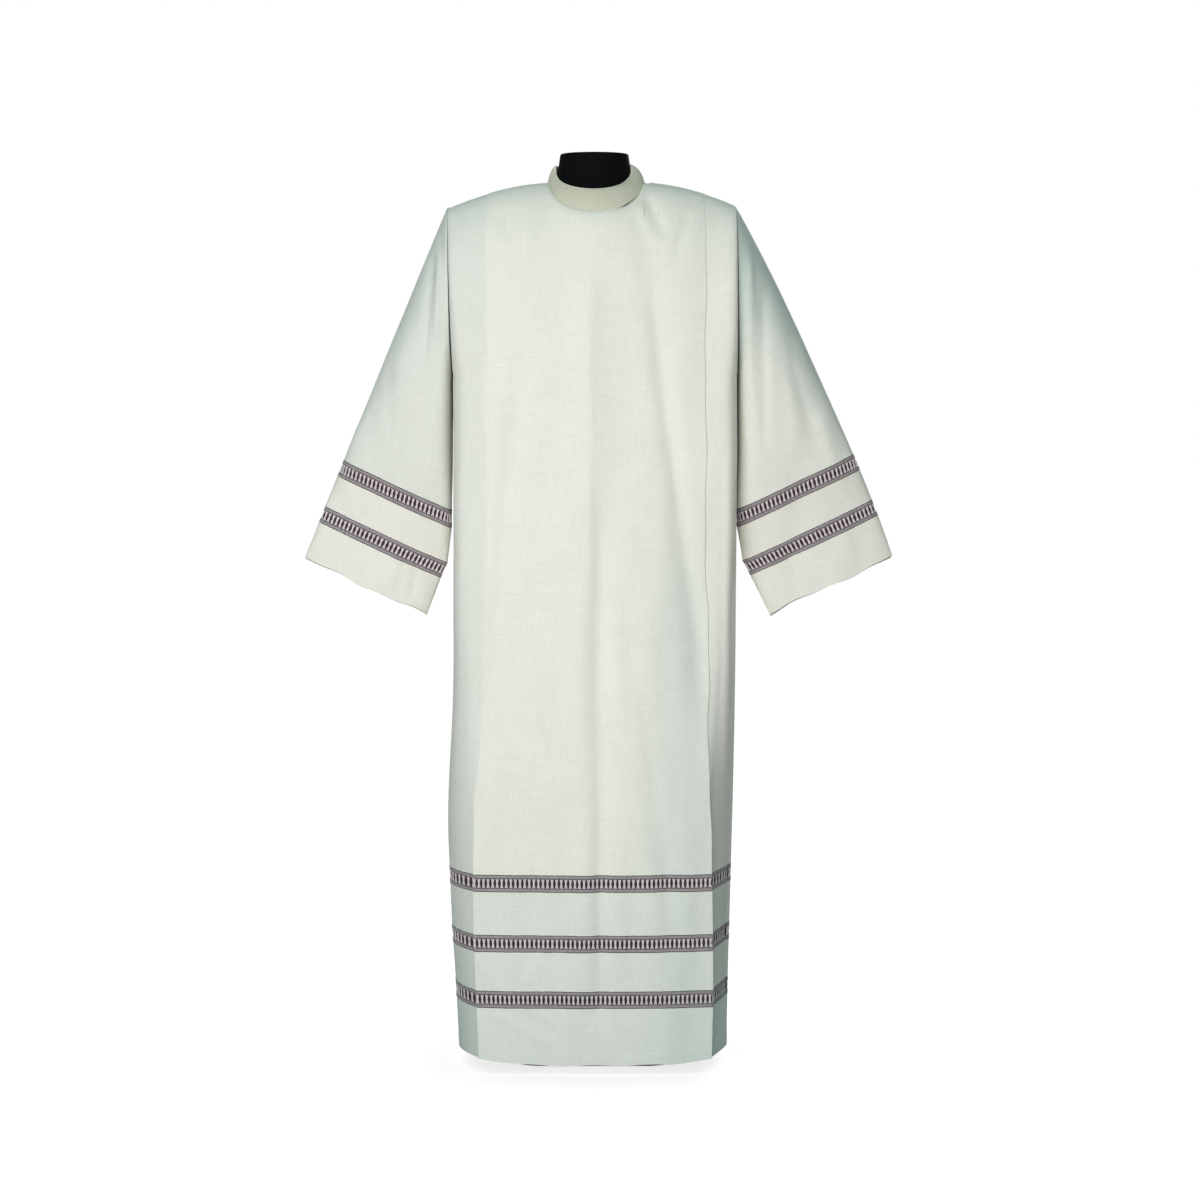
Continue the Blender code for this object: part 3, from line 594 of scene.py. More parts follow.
def half_columns(side):
    """Columns from a side seam to the middle of a panel."""
    columns = []
    for f in np.linspace(1.0, 0.0, SIDE_COUNT):
        columns.append(Column(side, "side", f, DEEPEST_LAYER * (1 - f) ** 2, 0.0))
    for f in np.linspace(1.0, 0.0, TUCK_COUNT // 2)[1:-1]:
        columns.append(Column(side, "tuck", f, DEEPEST_LAYER, 0.0))
    for turn in np.linspace(0, math.pi, 5):
        layers = DEEPEST_LAYER - (1 - math.cos(turn)) / 2
        columns.append(Column(side, "tuck", 0.0, layers, -math.sin(turn)))
    for f in np.linspace(0.0, 1.0, TUCK_COUNT // 2)[1:-1]:
        columns.append(Column(side, "tuck", f, 1, 0.0))
    for turn in np.linspace(0, math.pi, 7):
        columns.append(Column(side, "tuck", 1.0, 1 - (1 - math.cos(turn)) / 2, math.sin(turn)))
    for zone, start, count in (("tuck", 1.0, TUCK_COUNT), ("shoulder", 1.0, SHOULDER_COUNT),
                               ("neck", 0.0, NECK_COUNT)):
        for f in np.linspace(start, 1.0 - start, count)[1:]:
            columns.append(Column(side, zone, f, 0, 0.0))
    return columns


def panel_grid(columns, height, rise, panel):
    """Points of a panel, a row for each height and rise, a column for each Column."""
    band_tops = np.array(BANDS)
    edges = np.concatenate([band_tops, band_tops - INSERTION])
    near_edge = np.abs(height[:, None] - edges[None, :]).min(axis=1)
    turn = 0.0 if panel == "front" else 2.6
    layer = mix(LAYER, PANEL_LAYER, fade(height - BANDS[0], 0.015, 0.165))
    layer = mix(layer, SHOULDER_LAYER, fade(rise, 0.50, 0.90))
    grid = []
    for column in columns:
        where = (column.side, column.zone, column.f)
        points = base_points(where, height, rise, panel)
        across, outward = across_and_outward(where, height, rise, panel)
        x, z = points[:, 0], points[:, 2]
        relief = crease_relief(PRESSED[panel], x, z, pressed=True)
        relief = relief + crease_relief(CREASES[panel], x, z) + swell_relief(x, z, turn)
        relief = relief + pucker_relief(x, near_edge, turn)
        relief = relief * fade(rise, 1.0, SEAM_FADES[0])
        if column.zone == "side":
            relief = relief * fade(column.f, 1.0, SEAM_FADES[1])
            from_seam = (1 - column.f) * SIDE_WIDTH
            points = points - SEAM_ROLL * bell(from_seam, SEAM_WIDTH) * outward
        points = points + (relief - column.layers * layer)[:, None] * outward
        points = points + (column.bulge * layer / 2)[:, None] * across
        grid.append(points)
    return np.stack(grid, axis=1)


def lengths(grid, axis):
    """How far each point of a grid lies from its first row or column, along the cloth."""
    steps = np.cumsum(np.linalg.norm(np.diff(grid, axis=axis), axis=2), axis=axis)
    return np.pad(steps, [(1, 0), (0, 0)] if axis == 0 else [(0, 0), (1, 0)])


def write_painted_shading(piece, shade):
    """Stores for each vertex of a piece how far it takes its material's painted shade and
    highlight.
    """
    tone = piece.data.attributes.new("shade", "FLOAT", "POINT")
    tone.data.foreach_set("value", np.asarray(shade, dtype=np.float32).ravel())


def cloth_piece(name, grid, material, closed=False, flat=None, thickness=CLOTH, shade=0.0):
    """A piece of cloth from rows of points, counted upwards, thickened about its middle.

    flat says for each point where it lay on the flat cloth, and the shading argument how
    far its cloth takes the painted shade.
    """
    points = (grid + (AXIS_X, 0.0, 0.0)).reshape(-1, 3)
    shade = np.broadcast_to(shade, grid.shape[:2])
    if closed:
        grid = np.concatenate([grid, grid[:, :1]], axis=1)
    flat = np.stack([lengths(grid, 1), lengths(grid, 0)], axis=-1) if flat is None else flat
    rows, columns = grid.shape[:2]
    r, c = np.meshgrid(np.arange(rows - 1), np.arange(columns - 1), indexing="ij")
    corners = [(r, c), (r, c + 1), (r + 1, c + 1), (r + 1, c)]
    wrap = columns - 1 if closed else columns
    faces = np.stack([row * wrap + column % wrap for row, column in corners], axis=-1)
    uv = np.stack([flat[row, column] for row, column in corners], axis=2)
    piece = make_mesh(name, points, faces.reshape(-1, 4).tolist(), [material], uv)
    write_painted_shading(piece, shade)
    wall = piece.modifiers.new("Wall", "SOLIDIFY")
    wall.thickness = thickness
    wall.offset = 0.0
    wall.use_even_offset = True
    return made_plain(piece)


# Ivory cloth: a plain weave of polyester and viscose with a linen look, pressed. It gives
# the eye a matt warm white, slightly uneven threads both ways, and soft light on folds.
# The real threads lie 0.4 mm apart; they are drawn three times as wide, to show at all.
THREAD = 0.0012
SLUB_LENGTH = 0.024      # how far one thick stretch of yarn runs
STREAK = 0.0036          # width of the broader streaks that thick yarns make together
MOTTLE = 0.070           # size of the soft clouds in the cloth's tone
PAINTED_SHADE_TONE = (0.868, 0.916, 0.922, 1.0)   # painted shade: the cooler tone of cloth that lies deepest in shade
SIDE_PAINTED_SHADE = {1: 0.0, -1: 0.75}          # share of the painted shade on the left and right sides
UPPER_PAINTED_SHADE = 0.80       # and how much of that is left at the chest
UPPER_HEIGHTS = (1.0, 0.5)               # down from the first it grows to the whole
SKIRT_PAINTED_SHADE = (0.150, 0.055, 1.0)        # painted shade round the left pleat: where, how wide, share
SKIRT_HEIGHTS = (1.10, 0.70)             # where it starts and is at its deepest
CREASE_PAINTED_SHADE = (-0.0055, 0.045, 0.40)    # painted shade left of the middle crease: from, how wide, share
CREASE_HEIGHTS = ((0.75, 1.00), (1.40, 1.30))    # where it starts and ends
ivory, tree, shader = new_material("ivory plain-weave cloth", {
    "Roughness": 0.86, "Sheen Weight": 0.12, "Sheen Roughness": 0.45})
flat = add_node(tree, "ShaderNodeUVMap", uv_map="Flat")
slubs = []
for width, length in ((THREAD, SLUB_LENGTH), (STREAK, 2.4 * SLUB_LENGTH)):
    for scale in ((1 / width, 1 / length, 1.0), (1 / length, 1 / width, 1.0)):
        stretched = add_node(tree, "ShaderNodeMapping", {"Vector": flat, "Scale": scale})
        slubs.append(add_node(tree, "ShaderNodeTexNoise", {
            "Vector": stretched, "Scale": 1.0, "Detail": 2.0, "Roughness": 0.6}))
fine = add_node(tree, "ShaderNodeMath", {0: slubs[0], 1: slubs[1]}, operation="ADD")
broad = add_node(tree, "ShaderNodeMath", {0: slubs[2], 1: slubs[3]}, operation="ADD")
both = add_node(tree, "ShaderNodeMath", {0: fine, 1: broad}, operation="ADD")
yarn = add_node(tree, "ShaderNodeMapRange", {"Value": both, "From Min": 1.5, "From Max": 2.5})
yarn_tone = add_node(tree, "ShaderNodeMix", {"Factor": yarn, 6: "#E9E7DB", 7: "#F5F3EA"},
                     data_type="RGBA", name="yarn tone")
place = add_node(tree, "ShaderNodeTexCoord")
clouds = add_node(tree, "ShaderNodeTexNoise", {
    "Vector": place.outputs["Object"], "Scale": 1 / MOTTLE, "Detail": 2.0})
cloud_tone = add_node(tree, "ShaderNodeMapRange", {
    "Value": clouds, "From Min": 0.3, "From Max": 0.7, "To Min": 0.975, "To Max": 1.0})
# Painted shade: each vertex's share draws the cloth towards the cooler, deeper tone, and past it
# where the share is over 1. This is multiplied with the soft clouds of the cloth's tone.
shade = add_node(tree, "ShaderNodeAttribute", attribute_name="shade")
painted_tone = add_node(tree, "ShaderNodeMix", {
    "Factor": shade.outputs["Fac"], 6: (1.0, 1.0, 1.0, 1.0), 7: PAINTED_SHADE_TONE},
    data_type="RGBA", name="deep tone", clamp_factor=False)
uneven = add_node(tree, "ShaderNodeMix", {"Factor": 1.0, 6: painted_tone, 7: cloud_tone},
                  data_type="RGBA", blend_type="MULTIPLY")
tone = add_node(tree, "ShaderNodeMix", {"Factor": 1.0, 6: yarn_tone, 7: uneven},
                data_type="RGBA", blend_type="MULTIPLY")
place = add_node(tree, "ShaderNodeSeparateXYZ", {"Vector": flat})
turns = []
for axis in ("X", "Y"):
    scaled = add_node(tree, "ShaderNodeMath", {
        0: place.outputs[axis], 1: math.pi / THREAD}, operation="MULTIPLY")
    turns.append(add_node(tree, "ShaderNodeMath", {0: scaled}, operation="SINE"))
weave = add_node(tree, "ShaderNodeMath", {0: turns[0], 1: turns[1]}, operation="MULTIPLY")
threads = add_node(tree, "ShaderNodeMath", {0: weave, 1: 0.25, 2: both},
                   operation="MULTIPLY_ADD")
bump = add_node(tree, "ShaderNodeBump", {
    "Strength": 0.25, "Distance": 0.0005, "Height": threads})
feed(shader, {"Base Color": tone, "Normal": bump})

SKIRT_ROWS = 118         # rows up to the armholes
YOKE_ROWS = 52           # and from there to the shoulders
right_half = half_columns(-1)
panel_columns = right_half + half_columns(1)[::-1][1:]
middle_column = len(right_half) - 1
# Painted shade of each column: the sides beyond the pleats take their share of it.
side_painted_shade = np.array([SIDE_PAINTED_SHADE[column.side] * (column.zone == "side")
                       for column in panel_columns])


def skirt_painted_shade(grid, shade):
    """Painted shade of a grid's points: that of its columns, less of it at the chest, and more
    round the left pleat of the skirt and beside the middle crease.
    """
    x, y, z = np.moveaxis(grid, 2, 0)
    where, wide, share = SKIRT_PAINTED_SHADE
    deep = share * bell(x - where, wide) * fade(z, *SKIRT_HEIGHTS) * (y < 0)
    where, wide, share = CREASE_PAINTED_SHADE
    beside = np.where(x > where, np.exp((where - x) / wide), 0.0)
    for heights in CREASE_HEIGHTS:
        beside = beside * fade(z, *heights)
    beside = beside * (y < 0)
    upper = mix(UPPER_PAINTED_SHADE, 1.0, fade(z, *UPPER_HEIGHTS))
    return np.maximum(shade[None, :] * upper, deep) + share * beside


def panel_flat(grid):
    """Where a panel's points lay on the flat cloth: its columns ran straight up."""
    across = lengths(grid, 1)[SKIRT_ROWS]
    across = across - across[middle_column]
    leaning = np.abs(grid[..., 1]) - np.abs(grid[SKIRT_ROWS, :, 1])
    return points_at(across, grid[..., 2] - 0.5 * leaning, 0.0)[..., :2]


skirt_heights = np.concatenate([
    BANDS[0] + np.array([0.0, 0.0015, 0.0035]),
    np.linspace(BANDS[0] + 0.006, UNDERARM, SKIRT_ROWS)])
yoke_rises = (1 - np.cos(math.pi * np.arange(1, YOKE_ROWS + 1) / YOKE_ROWS)) / 2
heights = np.concatenate([skirt_heights, np.full(YOKE_ROWS, UNDERARM)])
rises = np.concatenate([np.zeros(len(skirt_heights)), yoke_rises])
for panel, area in (("front", 0.931), ("back", 0.9385)):
    grid = panel_grid(panel_columns, heights, rises, panel)
    if panel == "back":
        grid = grid[:, ::-1]
    shade = skirt_painted_shade(grid, side_painted_shade if panel == "front" else side_painted_shade[::-1])
    piece = cloth_piece(panel + "_panel", grid, ivory, flat=panel_flat(grid), shade=shade)
    shown_for(piece, panel + "_body")

# ------------------------------------------------------------------ skirt strips and hem
# Plain strips of the same cloth that join the openwork insertions, sewn into rings and
# pleated with the panels above them. The lowest has the hem, turned up and blind-stitched.
HEM_TURN = 0.024         # height of the turned-up hem
HEM_STEP = 0.0004        # the cloth stands out this much over the turned-up layer
HEM_WAVES = ((0.0012, 27, 1.0), (0.00072, 61, 2.0))  # unevenness of the hem's edge
RING_PITCH = 0.0060      # rows of a strip
STRIP_PAINTED_SHADE = (0.50, 0.35, 0.15)         # least painted shade of each strip, from the top


def ring_grid(row_heights, hem=False):
    """Rows all the way round the skirt, from the right side seam over the front."""
    flat_rise = np.zeros(len(row_heights))
    front = panel_grid(panel_columns, row_heights, flat_rise, "front")
    back = panel_grid(panel_columns, row_heights, flat_rise, "back")[:, ::-1]
    front[:, (0, -1), 1] = 0.0
    grid = np.concatenate([front, back[:, 1:-1]], axis=1)
    if hem:
        x, top = grid[..., 0], row_heights[-1]
        share = (top - row_heights[:, None]) / (top - row_heights[0])
        way = np.minimum(np.abs(x) / level(0.0, 1)[1], 1.0)
        edge = mix(HEM_MIDDLE, HEM_SIDE, way ** 2) + waves(x, HEM_WAVES)
        grid[..., 2] = mix(top, edge, share)
        step = HEM_STEP * fade(grid[..., 2] - edge, HEM_TURN, HEM_TURN - 0.003)
        out = grid * (1, 1, 0) / np.linalg.norm(grid[..., :2], axis=2)[..., None]
        grid = grid + step[..., None] * out
    return grid


def strip_heights(low, high):
    """Heights of a strip's rows, closer together at its two edges."""
    count = max(int((high - low) / RING_PITCH), 4)
    inner = np.linspace(low + 0.004, high - 0.004, count)
    return np.concatenate([[low, low + 0.0015], inner, [high - 0.0015, high]])


for k, (top, low) in enumerate(zip(BANDS, BANDS[1:] + (0.0,)), start=1):
    bottom = top - INSERTION
    is_hem = k == len(BANDS)
    node = "hem_strip" if is_hem else f"skirt_strip_{k}"
    grid = ring_grid(strip_heights(low, bottom), is_hem)
    # Painted shade on each strip: that of the skirt, and never less than the strip's own share.
    shade = skirt_painted_shade(grid, np.concatenate([side_painted_shade, side_painted_shade[::-1][1:-1]]))
    shade = np.maximum(shade, STRIP_PAINTED_SHADE[k - 1])
    strip = cloth_piece(node + "_cloth", grid, ivory, closed=True, shade=shade)
    shown_for(strip, node)

# ------------------------------------------------------------------ openwork insertions
# Drawn-thread insertions: the threads of a ladder are tied in the middle into hourglass
# bundles, with lozenges between them that show a dark net behind, painted shade for the dark
# inside of the robe, and a tape of braided stitches along each edge is sewn to the cloth.
# Mauve-grey tapes, pinkish-white ladder.
PITCH = 0.0078           # from one bundle to the next
TAPE = 0.0064            # height of a braided edge
TAPE_THICK = 0.0011
STRANDS = 3              # in a bundle
STRAND_WIDE, STRAND_THICK = 0.00085, 0.0006
WAIST = 0.24             # how close the strands are drawn at the tie
WAIST_FORM = 1.4         # how roundly they open from it, 1 is straight
TIE_HALF, TIE_WIDE, TIE_THICK = 0.0010, 0.0016, 0.0010
STITCH_REACH = 0.0014    # half length of a braid stitch
STITCH_WIDE, STITCH_THICK = 0.0009, 0.00055
STITCH_ROW = 0.24        # where its rows lie, as a share of the tape from its middle
CORD = 0.00075           # half width of the dark cord along each edge of a tape
NET_BACK = 0.0010        # how far behind the ladder its net lies
NET_THICK = 0.0004
LADDER_END, NET_END = 0.8, 0.7           # where they end, in tapes from the band's edge
WIDER = 0.6              # a bundle that takes two pitches is wider by this share
HIDDEN_LAYERS = 1.1      # further in than this a pleat hides the ladder
BRAID_GRAIN = 1 / 520    # size of the braid's fibres, drawn coarse enough to show
THREAD_GRAIN = 1 / 800   # and of the ladder's
NET_MESH = 1 / 900       # size of the net's meshes
JOINED_WITHIN = 0.00002  # points of two repeats that lie this close are one

# Braided cotton: mercerised thread in slanting satin stitches, dull mauve-grey with a slight
# lustre along each stitch. A cord runs along each edge, and its dark brown-grey is painted
# shade where the tape meets the cloth and the ladder.
braid, tree, shader = new_material("braided mauve-grey cotton", {
    "Roughness": 0.66, "Sheen Weight": 0.2})
grain = add_grain(tree, shader, BRAID_GRAIN, strength=0.5, depth=0.0003, detail=3.0)
feed(grain, {"Roughness": 0.7})
tone = add_node(tree, "ShaderNodeValToRGB", {"Fac": grain})
for element, position, colour in zip(tone.color_ramp.elements, (0.35, 0.65),
                                     ("#857D7F", "#B0A8A9")):
    element.position = position
    element.color = linear(colour)
# Where the vertex share is 1, on the cords, the braid takes the dark brown-grey of painted shade.
shade = add_node(tree, "ShaderNodeAttribute", attribute_name="shade")
cord_painted_shade = add_node(tree, "ShaderNodeMix", {
    "Factor": shade.outputs["Fac"], 6: tone, 7: "#4A4240"}, data_type="RGBA")
feed(shader, {"Base Color": cord_painted_shade})

# Ladder thread: bundled cotton, pinkish white, softly shaded where it is drawn together.
ladder_thread, tree, shader = new_material("pinkish-white cotton thread", {
    "Roughness": 0.7, "Sheen Weight": 0.2})
fibres = add_grain(tree, shader, THREAD_GRAIN, strength=0.3, depth=0.0002)
tone = add_node(tree, "ShaderNodeMix", {"Factor": fibres, 6: "#D3C3C8", 7: "#F1E7EA"},
                data_type="RGBA")
feed(shader, {"Base Color": tone})

# Net: a dull brown-black sheet with a fine mesh behind the ladder, painted shade for the
# dark inside of the robe seen through the openwork.
painted_shade_net, tree, shader = new_material("brown-black cotton net", {
    "Roughness": 0.95, "Specular IOR Level": 0.2})
place = add_node(tree, "ShaderNodeTexCoord")
meshes = add_node(tree, "ShaderNodeTexVoronoi", {
    "Vector": place.outputs["Object"], "Scale": 1 / NET_MESH}, feature="DISTANCE_TO_EDGE")
tone = add_node(tree, "ShaderNodeMix", {"Factor": meshes, 6: "#4B3A3E", 7: "#2A1F22"},
                data_type="RGBA")
feed(shader, {"Base Color": tone})


def add_tube(mesh, outlines, turned=False, capped=False):
    """A tube through outlines, or turned ones that run the other way, and its vertices."""
    rings = [[mesh.verts.new(point) for point in outline] for outline in outlines]
    for low, high in zip(rings, rings[1:]):
        for i in range(len(low)):
            j = (i + 1) % len(low)
            corners = (low[i], low[j], high[j], high[i])
            mesh.faces.new((low[i], high[i], high[j], low[j]) if turned else corners)
    if capped:
        mesh.faces.new(rings[0][::1 if turned else -1])
        mesh.faces.new(rings[-1][::-1 if turned else 1])
    return sum(rings, [])


def add_strand(mesh, centres, wide, thick, sides=4, y=0.0):
    """A closed tube through some points; wide runs along the band and thick outwards."""
    angles = [2 * math.pi * (k + 0.5) / sides for k in range(sides)]
    add_tube(mesh, [[(x + swell * wide * math.cos(angle), y + swell * thick * math.sin(angle),
                      z) for angle in angles] for x, z, swell in centres], capped=True)


def motif_object(name, mesh):
    """An object that a motif is taken from; it isn't shown itself."""
    for face in mesh.faces:
        face.smooth = True
    data = bpy.data.meshes.new(name)
    mesh.to_mesh(data)
    mesh.free()
    return bpy.data.objects.new(name, data)


def ladder_motif():
    """One bundle of the ladder, flat: x runs along it, z up it and -y is outwards."""
    mesh = bmesh.new()
    half_ladder = INSERTION / 2 - TAPE * LADDER_END
    for k in range(STRANDS):
        centres = []
        for t in np.linspace(-1, 1, 7):
            spread = mix(WAIST, 1.0, abs(t) ** WAIST_FORM)
            x = PITCH / 2 + (k - (STRANDS - 1) / 2) * PITCH / STRANDS * spread
            centres.append((x, t * half_ladder, 1.0))
        add_strand(mesh, centres, STRAND_WIDE, STRAND_THICK)
    tie = [(PITCH / 2, t * TIE_HALF, swell) for t, swell in ((-1, 0.75), (0, 1.0), (1, 0.75))]
    add_strand(mesh, tie, TIE_WIDE, TIE_THICK, sides=6)
    return motif_object("ladder_motif", mesh)


def tape_motif():
    """One repeat of both braided tapes, flat, with two rows of slanting stitches on each."""
    mesh = bmesh.new()
    shade = mesh.verts.layers.float.new("shade")
    steps = np.linspace(0, PITCH, 4)
    profile = [(TAPE_THICK / 2 * out, TAPE / 2 * up)
               for up, out in ((-1, 0), (-0.8, -1), (0.8, -1), (1, 0), (0.8, 1), (-0.8, 1))]
    cord = [(CORD * out - TAPE_THICK / 2, CORD * up)
            for up, out in ((-1, 0.2), (0, -0.8), (1, 0.2), (0, 0.8))]
    for edge in (-1, 1):
        middle = edge * (INSERTION - TAPE) / 2
        add_tube(mesh, [[(x, y, middle + z) for y, z in profile] for x in steps], turned=True)
        for x in (0.25 * PITCH, 0.75 * PITCH):
            for row, slant in ((-1, 1), (1, -1)):
                z = middle + row * TAPE * STITCH_ROW
                ends = [(x - slant * STITCH_REACH * t, z + STITCH_REACH * t, swell)
                        for t, swell in ((-1, 0.35), (0, 1.0), (1, 0.35))]
                add_strand(mesh, ends, STITCH_WIDE, STITCH_THICK, y=-TAPE_THICK / 2)
        # A cord along each edge of the tape, marked to take the braid's painted shade in full.
        for side in (-1, 1):
            height = middle + side * (TAPE / 2 - CORD * 0.6)
            cord_vertices = add_tube(mesh, [[(x, y, height + z) for y, z in cord]
                                            for x in steps], turned=True)
            for vertex in cord_vertices:
                vertex[shade] = 1.0
    return motif_object("tape_motif", mesh)


def net_motif():
    """One repeat of the net of painted shade behind the ladder: a thin strip reaching behind both
    tapes.
    """
    mesh = bmesh.new()
    reach = INSERTION / 2 - TAPE * NET_END
    outline = ((0, -reach), (0, reach), (NET_THICK, reach), (NET_THICK, -reach))
    add_tube(mesh, [[(x, NET_BACK + y, z) for y, z in outline]
                    for x in np.linspace(0, PITCH, 4)])
    return motif_object("net_motif", mesh)


def repeats_along_path():
    """A node tree that repeats flat motifs along a path on the cloth and bends them to it.

    The path has two attributes: up, the cloth's upward direction, and wide, which tells how
    many pitches wide the second motif is there. Where it is 0, that motif is left out.
    """
    tree = bpy.data.node_groups.new("Repeats along a path", "GeometryNodeTree")
    sockets = (("Path", "Geometry"), ("Motif", "Object"), ("Second motif", "Object"),
               ("Pitch", "Float"), ("Material", "Material"), ("Second material", "Material"))
    for name, kind in sockets:
        tree.interface.new_socket(name=name, in_out="INPUT", socket_type="NodeSocket" + kind)
    tree.interface.new_socket(name="Result", in_out="OUTPUT", socket_type="NodeSocketGeometry")
    given = add_node(tree, "NodeGroupInput").outputs

    # As many repeats as fit the path's length, each stretched a little to fill it.
    curve = add_node(tree, "GeometryNodeMeshToCurve", {"Mesh": given["Path"]})
    total = add_node(tree, "GeometryNodeCurveLength", {"Curve": curve})
    share = add_node(tree, "ShaderNodeMath", {0: total, 1: given["Pitch"]}, operation="DIVIDE")
    count = add_node(tree, "ShaderNodeMath", {0: share}, operation="ROUND")
    step = add_node(tree, "ShaderNodeMath", {0: total, 1: count}, operation="DIVIDE")
    stretch = add_node(tree, "ShaderNodeMath", {0: step, 1: given["Pitch"]}, operation="DIVIDE")
    offset = add_node(tree, "ShaderNodeCombineXYZ", {"X": step})
    size = add_node(tree, "ShaderNodeCombineXYZ", {"X": stretch, "Y": 1.0, "Z": 1.0})
    starts = add_node(tree, "GeometryNodeMeshLine", {"Count": count, "Offset": offset})
    position = add_node(tree, "GeometryNodeInputPosition")
    part = add_node(tree, "ShaderNodeSeparateXYZ", {"Vector": position})
    length = add_node(tree, "ShaderNodeMath", {0: part.outputs["X"], 1: total},
                      operation="FLOORED_MODULO")

    # The second motif stands at every repeat, or wider at one in two.
    wide = add_node(tree, "GeometryNodeInputNamedAttribute", {"Name": "wide"},
                    data_type="FLOAT")
    there = add_node(tree, "GeometryNodeSampleCurve", {
        "Curves": curve, "Value": wide, "Length": length}, mode="LENGTH", data_type="FLOAT")
    pitches = add_node(tree, "ShaderNodeMath", {0: there}, operation="ROUND")
    index = add_node(tree, "GeometryNodeInputIndex")
    over = add_node(tree, "ShaderNodeMath", {0: index, 1: pitches}, operation="MODULO")
    is_first = add_node(tree, "FunctionNodeCompare", {"A": over, "B": 0.5},
                        data_type="FLOAT", operation="LESS_THAN")
    is_worked = add_node(tree, "FunctionNodeCompare", {"A": pitches, "B": 0.5},
                         data_type="FLOAT", operation="GREATER_THAN")
    chosen = add_node(tree, "FunctionNodeBooleanMath", {0: is_first, 1: is_worked},
                      operation="AND")
    widening = add_node(tree, "ShaderNodeMath", {0: pitches, 1: WIDER, 2: 1.0 - WIDER},
                        operation="MULTIPLY_ADD")
    factors = add_node(tree, "ShaderNodeCombineXYZ", {"X": widening, "Y": 1.0, "Z": 1.0})
    wide_size = add_node(tree, "ShaderNodeVectorMath", {0: size, 1: factors},
                         operation="MULTIPLY")
    together = add_node(tree, "GeometryNodeJoinGeometry")
    for motif_name, material_name, scale, selection in (
            ("Motif", "Material", size, True),
            ("Second motif", "Second material", wide_size, chosen)):
        motif = add_node(tree, "GeometryNodeObjectInfo", {"Object": given[motif_name]})
        copies = add_node(tree, "GeometryNodeInstanceOnPoints", {
            "Points": starts, "Instance": motif.outputs["Geometry"], "Scale": scale,
            "Selection": selection})
        band = add_node(tree, "GeometryNodeRealizeInstances", {"Geometry": copies})
        finished = add_node(tree, "GeometryNodeSetMaterial", {
            "Geometry": band, "Material": given[material_name]})
        feed(together, {"Geometry": finished})

    # Each point keeps its height and depth from the path, along the cloth's own directions.
    up = add_node(tree, "GeometryNodeInputNamedAttribute", {"Name": "up"},
                  data_type="FLOAT_VECTOR")
    spot = add_node(tree, "GeometryNodeSampleCurve", {
        "Curves": curve, "Value": up, "Length": length},
        mode="LENGTH", data_type="FLOAT_VECTOR")
    square = add_node(tree, "ShaderNodeVectorMath", {0: spot, 1: spot.outputs["Tangent"]},
                      operation="CROSS_PRODUCT")
    inward = add_node(tree, "ShaderNodeVectorMath", {0: square}, operation="NORMALIZE")
    raised = add_node(tree, "ShaderNodeVectorMath", {0: spot, "Scale": part.outputs["Z"]},
                      operation="SCALE")
    sunk = add_node(tree, "ShaderNodeVectorMath", {0: inward, "Scale": part.outputs["Y"]},
                    operation="SCALE")
    away = add_node(tree, "ShaderNodeVectorMath", {0: raised, 1: sunk}, operation="ADD")
    bent = add_node(tree, "ShaderNodeVectorMath", {0: spot.outputs["Position"], 1: away},
                    operation="ADD")
    placed = add_node(tree, "GeometryNodeSetPosition", {"Geometry": together, "Position": bent})
    joined = add_node(tree, "GeometryNodeMergeByDistance", {
        "Geometry": placed, "Distance": JOINED_WITHIN})
    add_node(tree, "NodeGroupOutput", {"Result": joined})
    return tree


def along_path(name, path, up, motifs, pitch, materials, wide=1, closed=True):
    """A piece made by repeating motifs along a path, with up as its upward direction."""
    edges = [(i, i + 1) for i in range(len(path) - 1)] + [(len(path) - 1, 0)] * closed
    piece = make_mesh(name, path + (AXIS_X, 0.0, 0.0), [], materials, edges=edges)
    upward = piece.data.attributes.new("up", "FLOAT_VECTOR", "POINT")
    upward.data.foreach_set("vector", np.asarray(up, dtype=np.float32).ravel())
    pitches = piece.data.attributes.new("wide", "FLOAT", "POINT")
    wide = np.broadcast_to(wide, len(path)).astype(np.float32)
    pitches.data.foreach_set("value", wide)
    modifier = piece.modifiers.new("Repeats", "NODES")
    modifier.node_group = repeats_tree
    values = dict(zip(("Motif", "Second motif"), motifs), Pitch=pitch)
    values.update(zip(("Material", "Second material"), materials))
    for item in repeats_tree.interface.items_tree:
        if item.in_out == "INPUT" and item.name in values:
            modifier[item.identifier] = values[item.name]
    return made_plain(piece, sharp_angle=80)


repeats_tree = repeats_along_path()
openwork_motifs = (tape_motif(), ladder_motif())
openwork_threads = (braid, ladder_thread)
shade_net_repeat = net_motif()


def openwork(prefix, number, rings, node, wide=1):
    """One insertion: its tapes and ladder, and the dark net of painted shade behind, along the
    middle of rings.
    """
    path, up = rings[1], unit(rings[2] - rings[0])
    band = along_path(f"{prefix}_openwork_{number}", path, up, openwork_motifs, PITCH,
                      openwork_threads, wide)
    shown_for(band, node)
    net = along_path(f"{prefix}_net_{number}", path, up, (shade_net_repeat,), PITCH, (painted_shade_net,))
    shown_for(net, node)


# Inside the pleats the ladder is left out, and on the sides its bundles are twice as wide.
bundle_width = [0 if column.zone == "tuck" and column.layers > HIDDEN_LAYERS
                else 2 if column.zone == "side" else 1 for column in panel_columns]
bundle_width = bundle_width + bundle_width[::-1][1:-1]
for k, top in enumerate(BANDS, start=1):
    rings = ring_grid(np.array([top - INSERTION, top - INSERTION / 2, top]))
    carrier = "front_body" if k == 1 else f"skirt_strip_{k - 1}"
    openwork("hem", k, rings, f"hem_insertion_{k}", bundle_width)

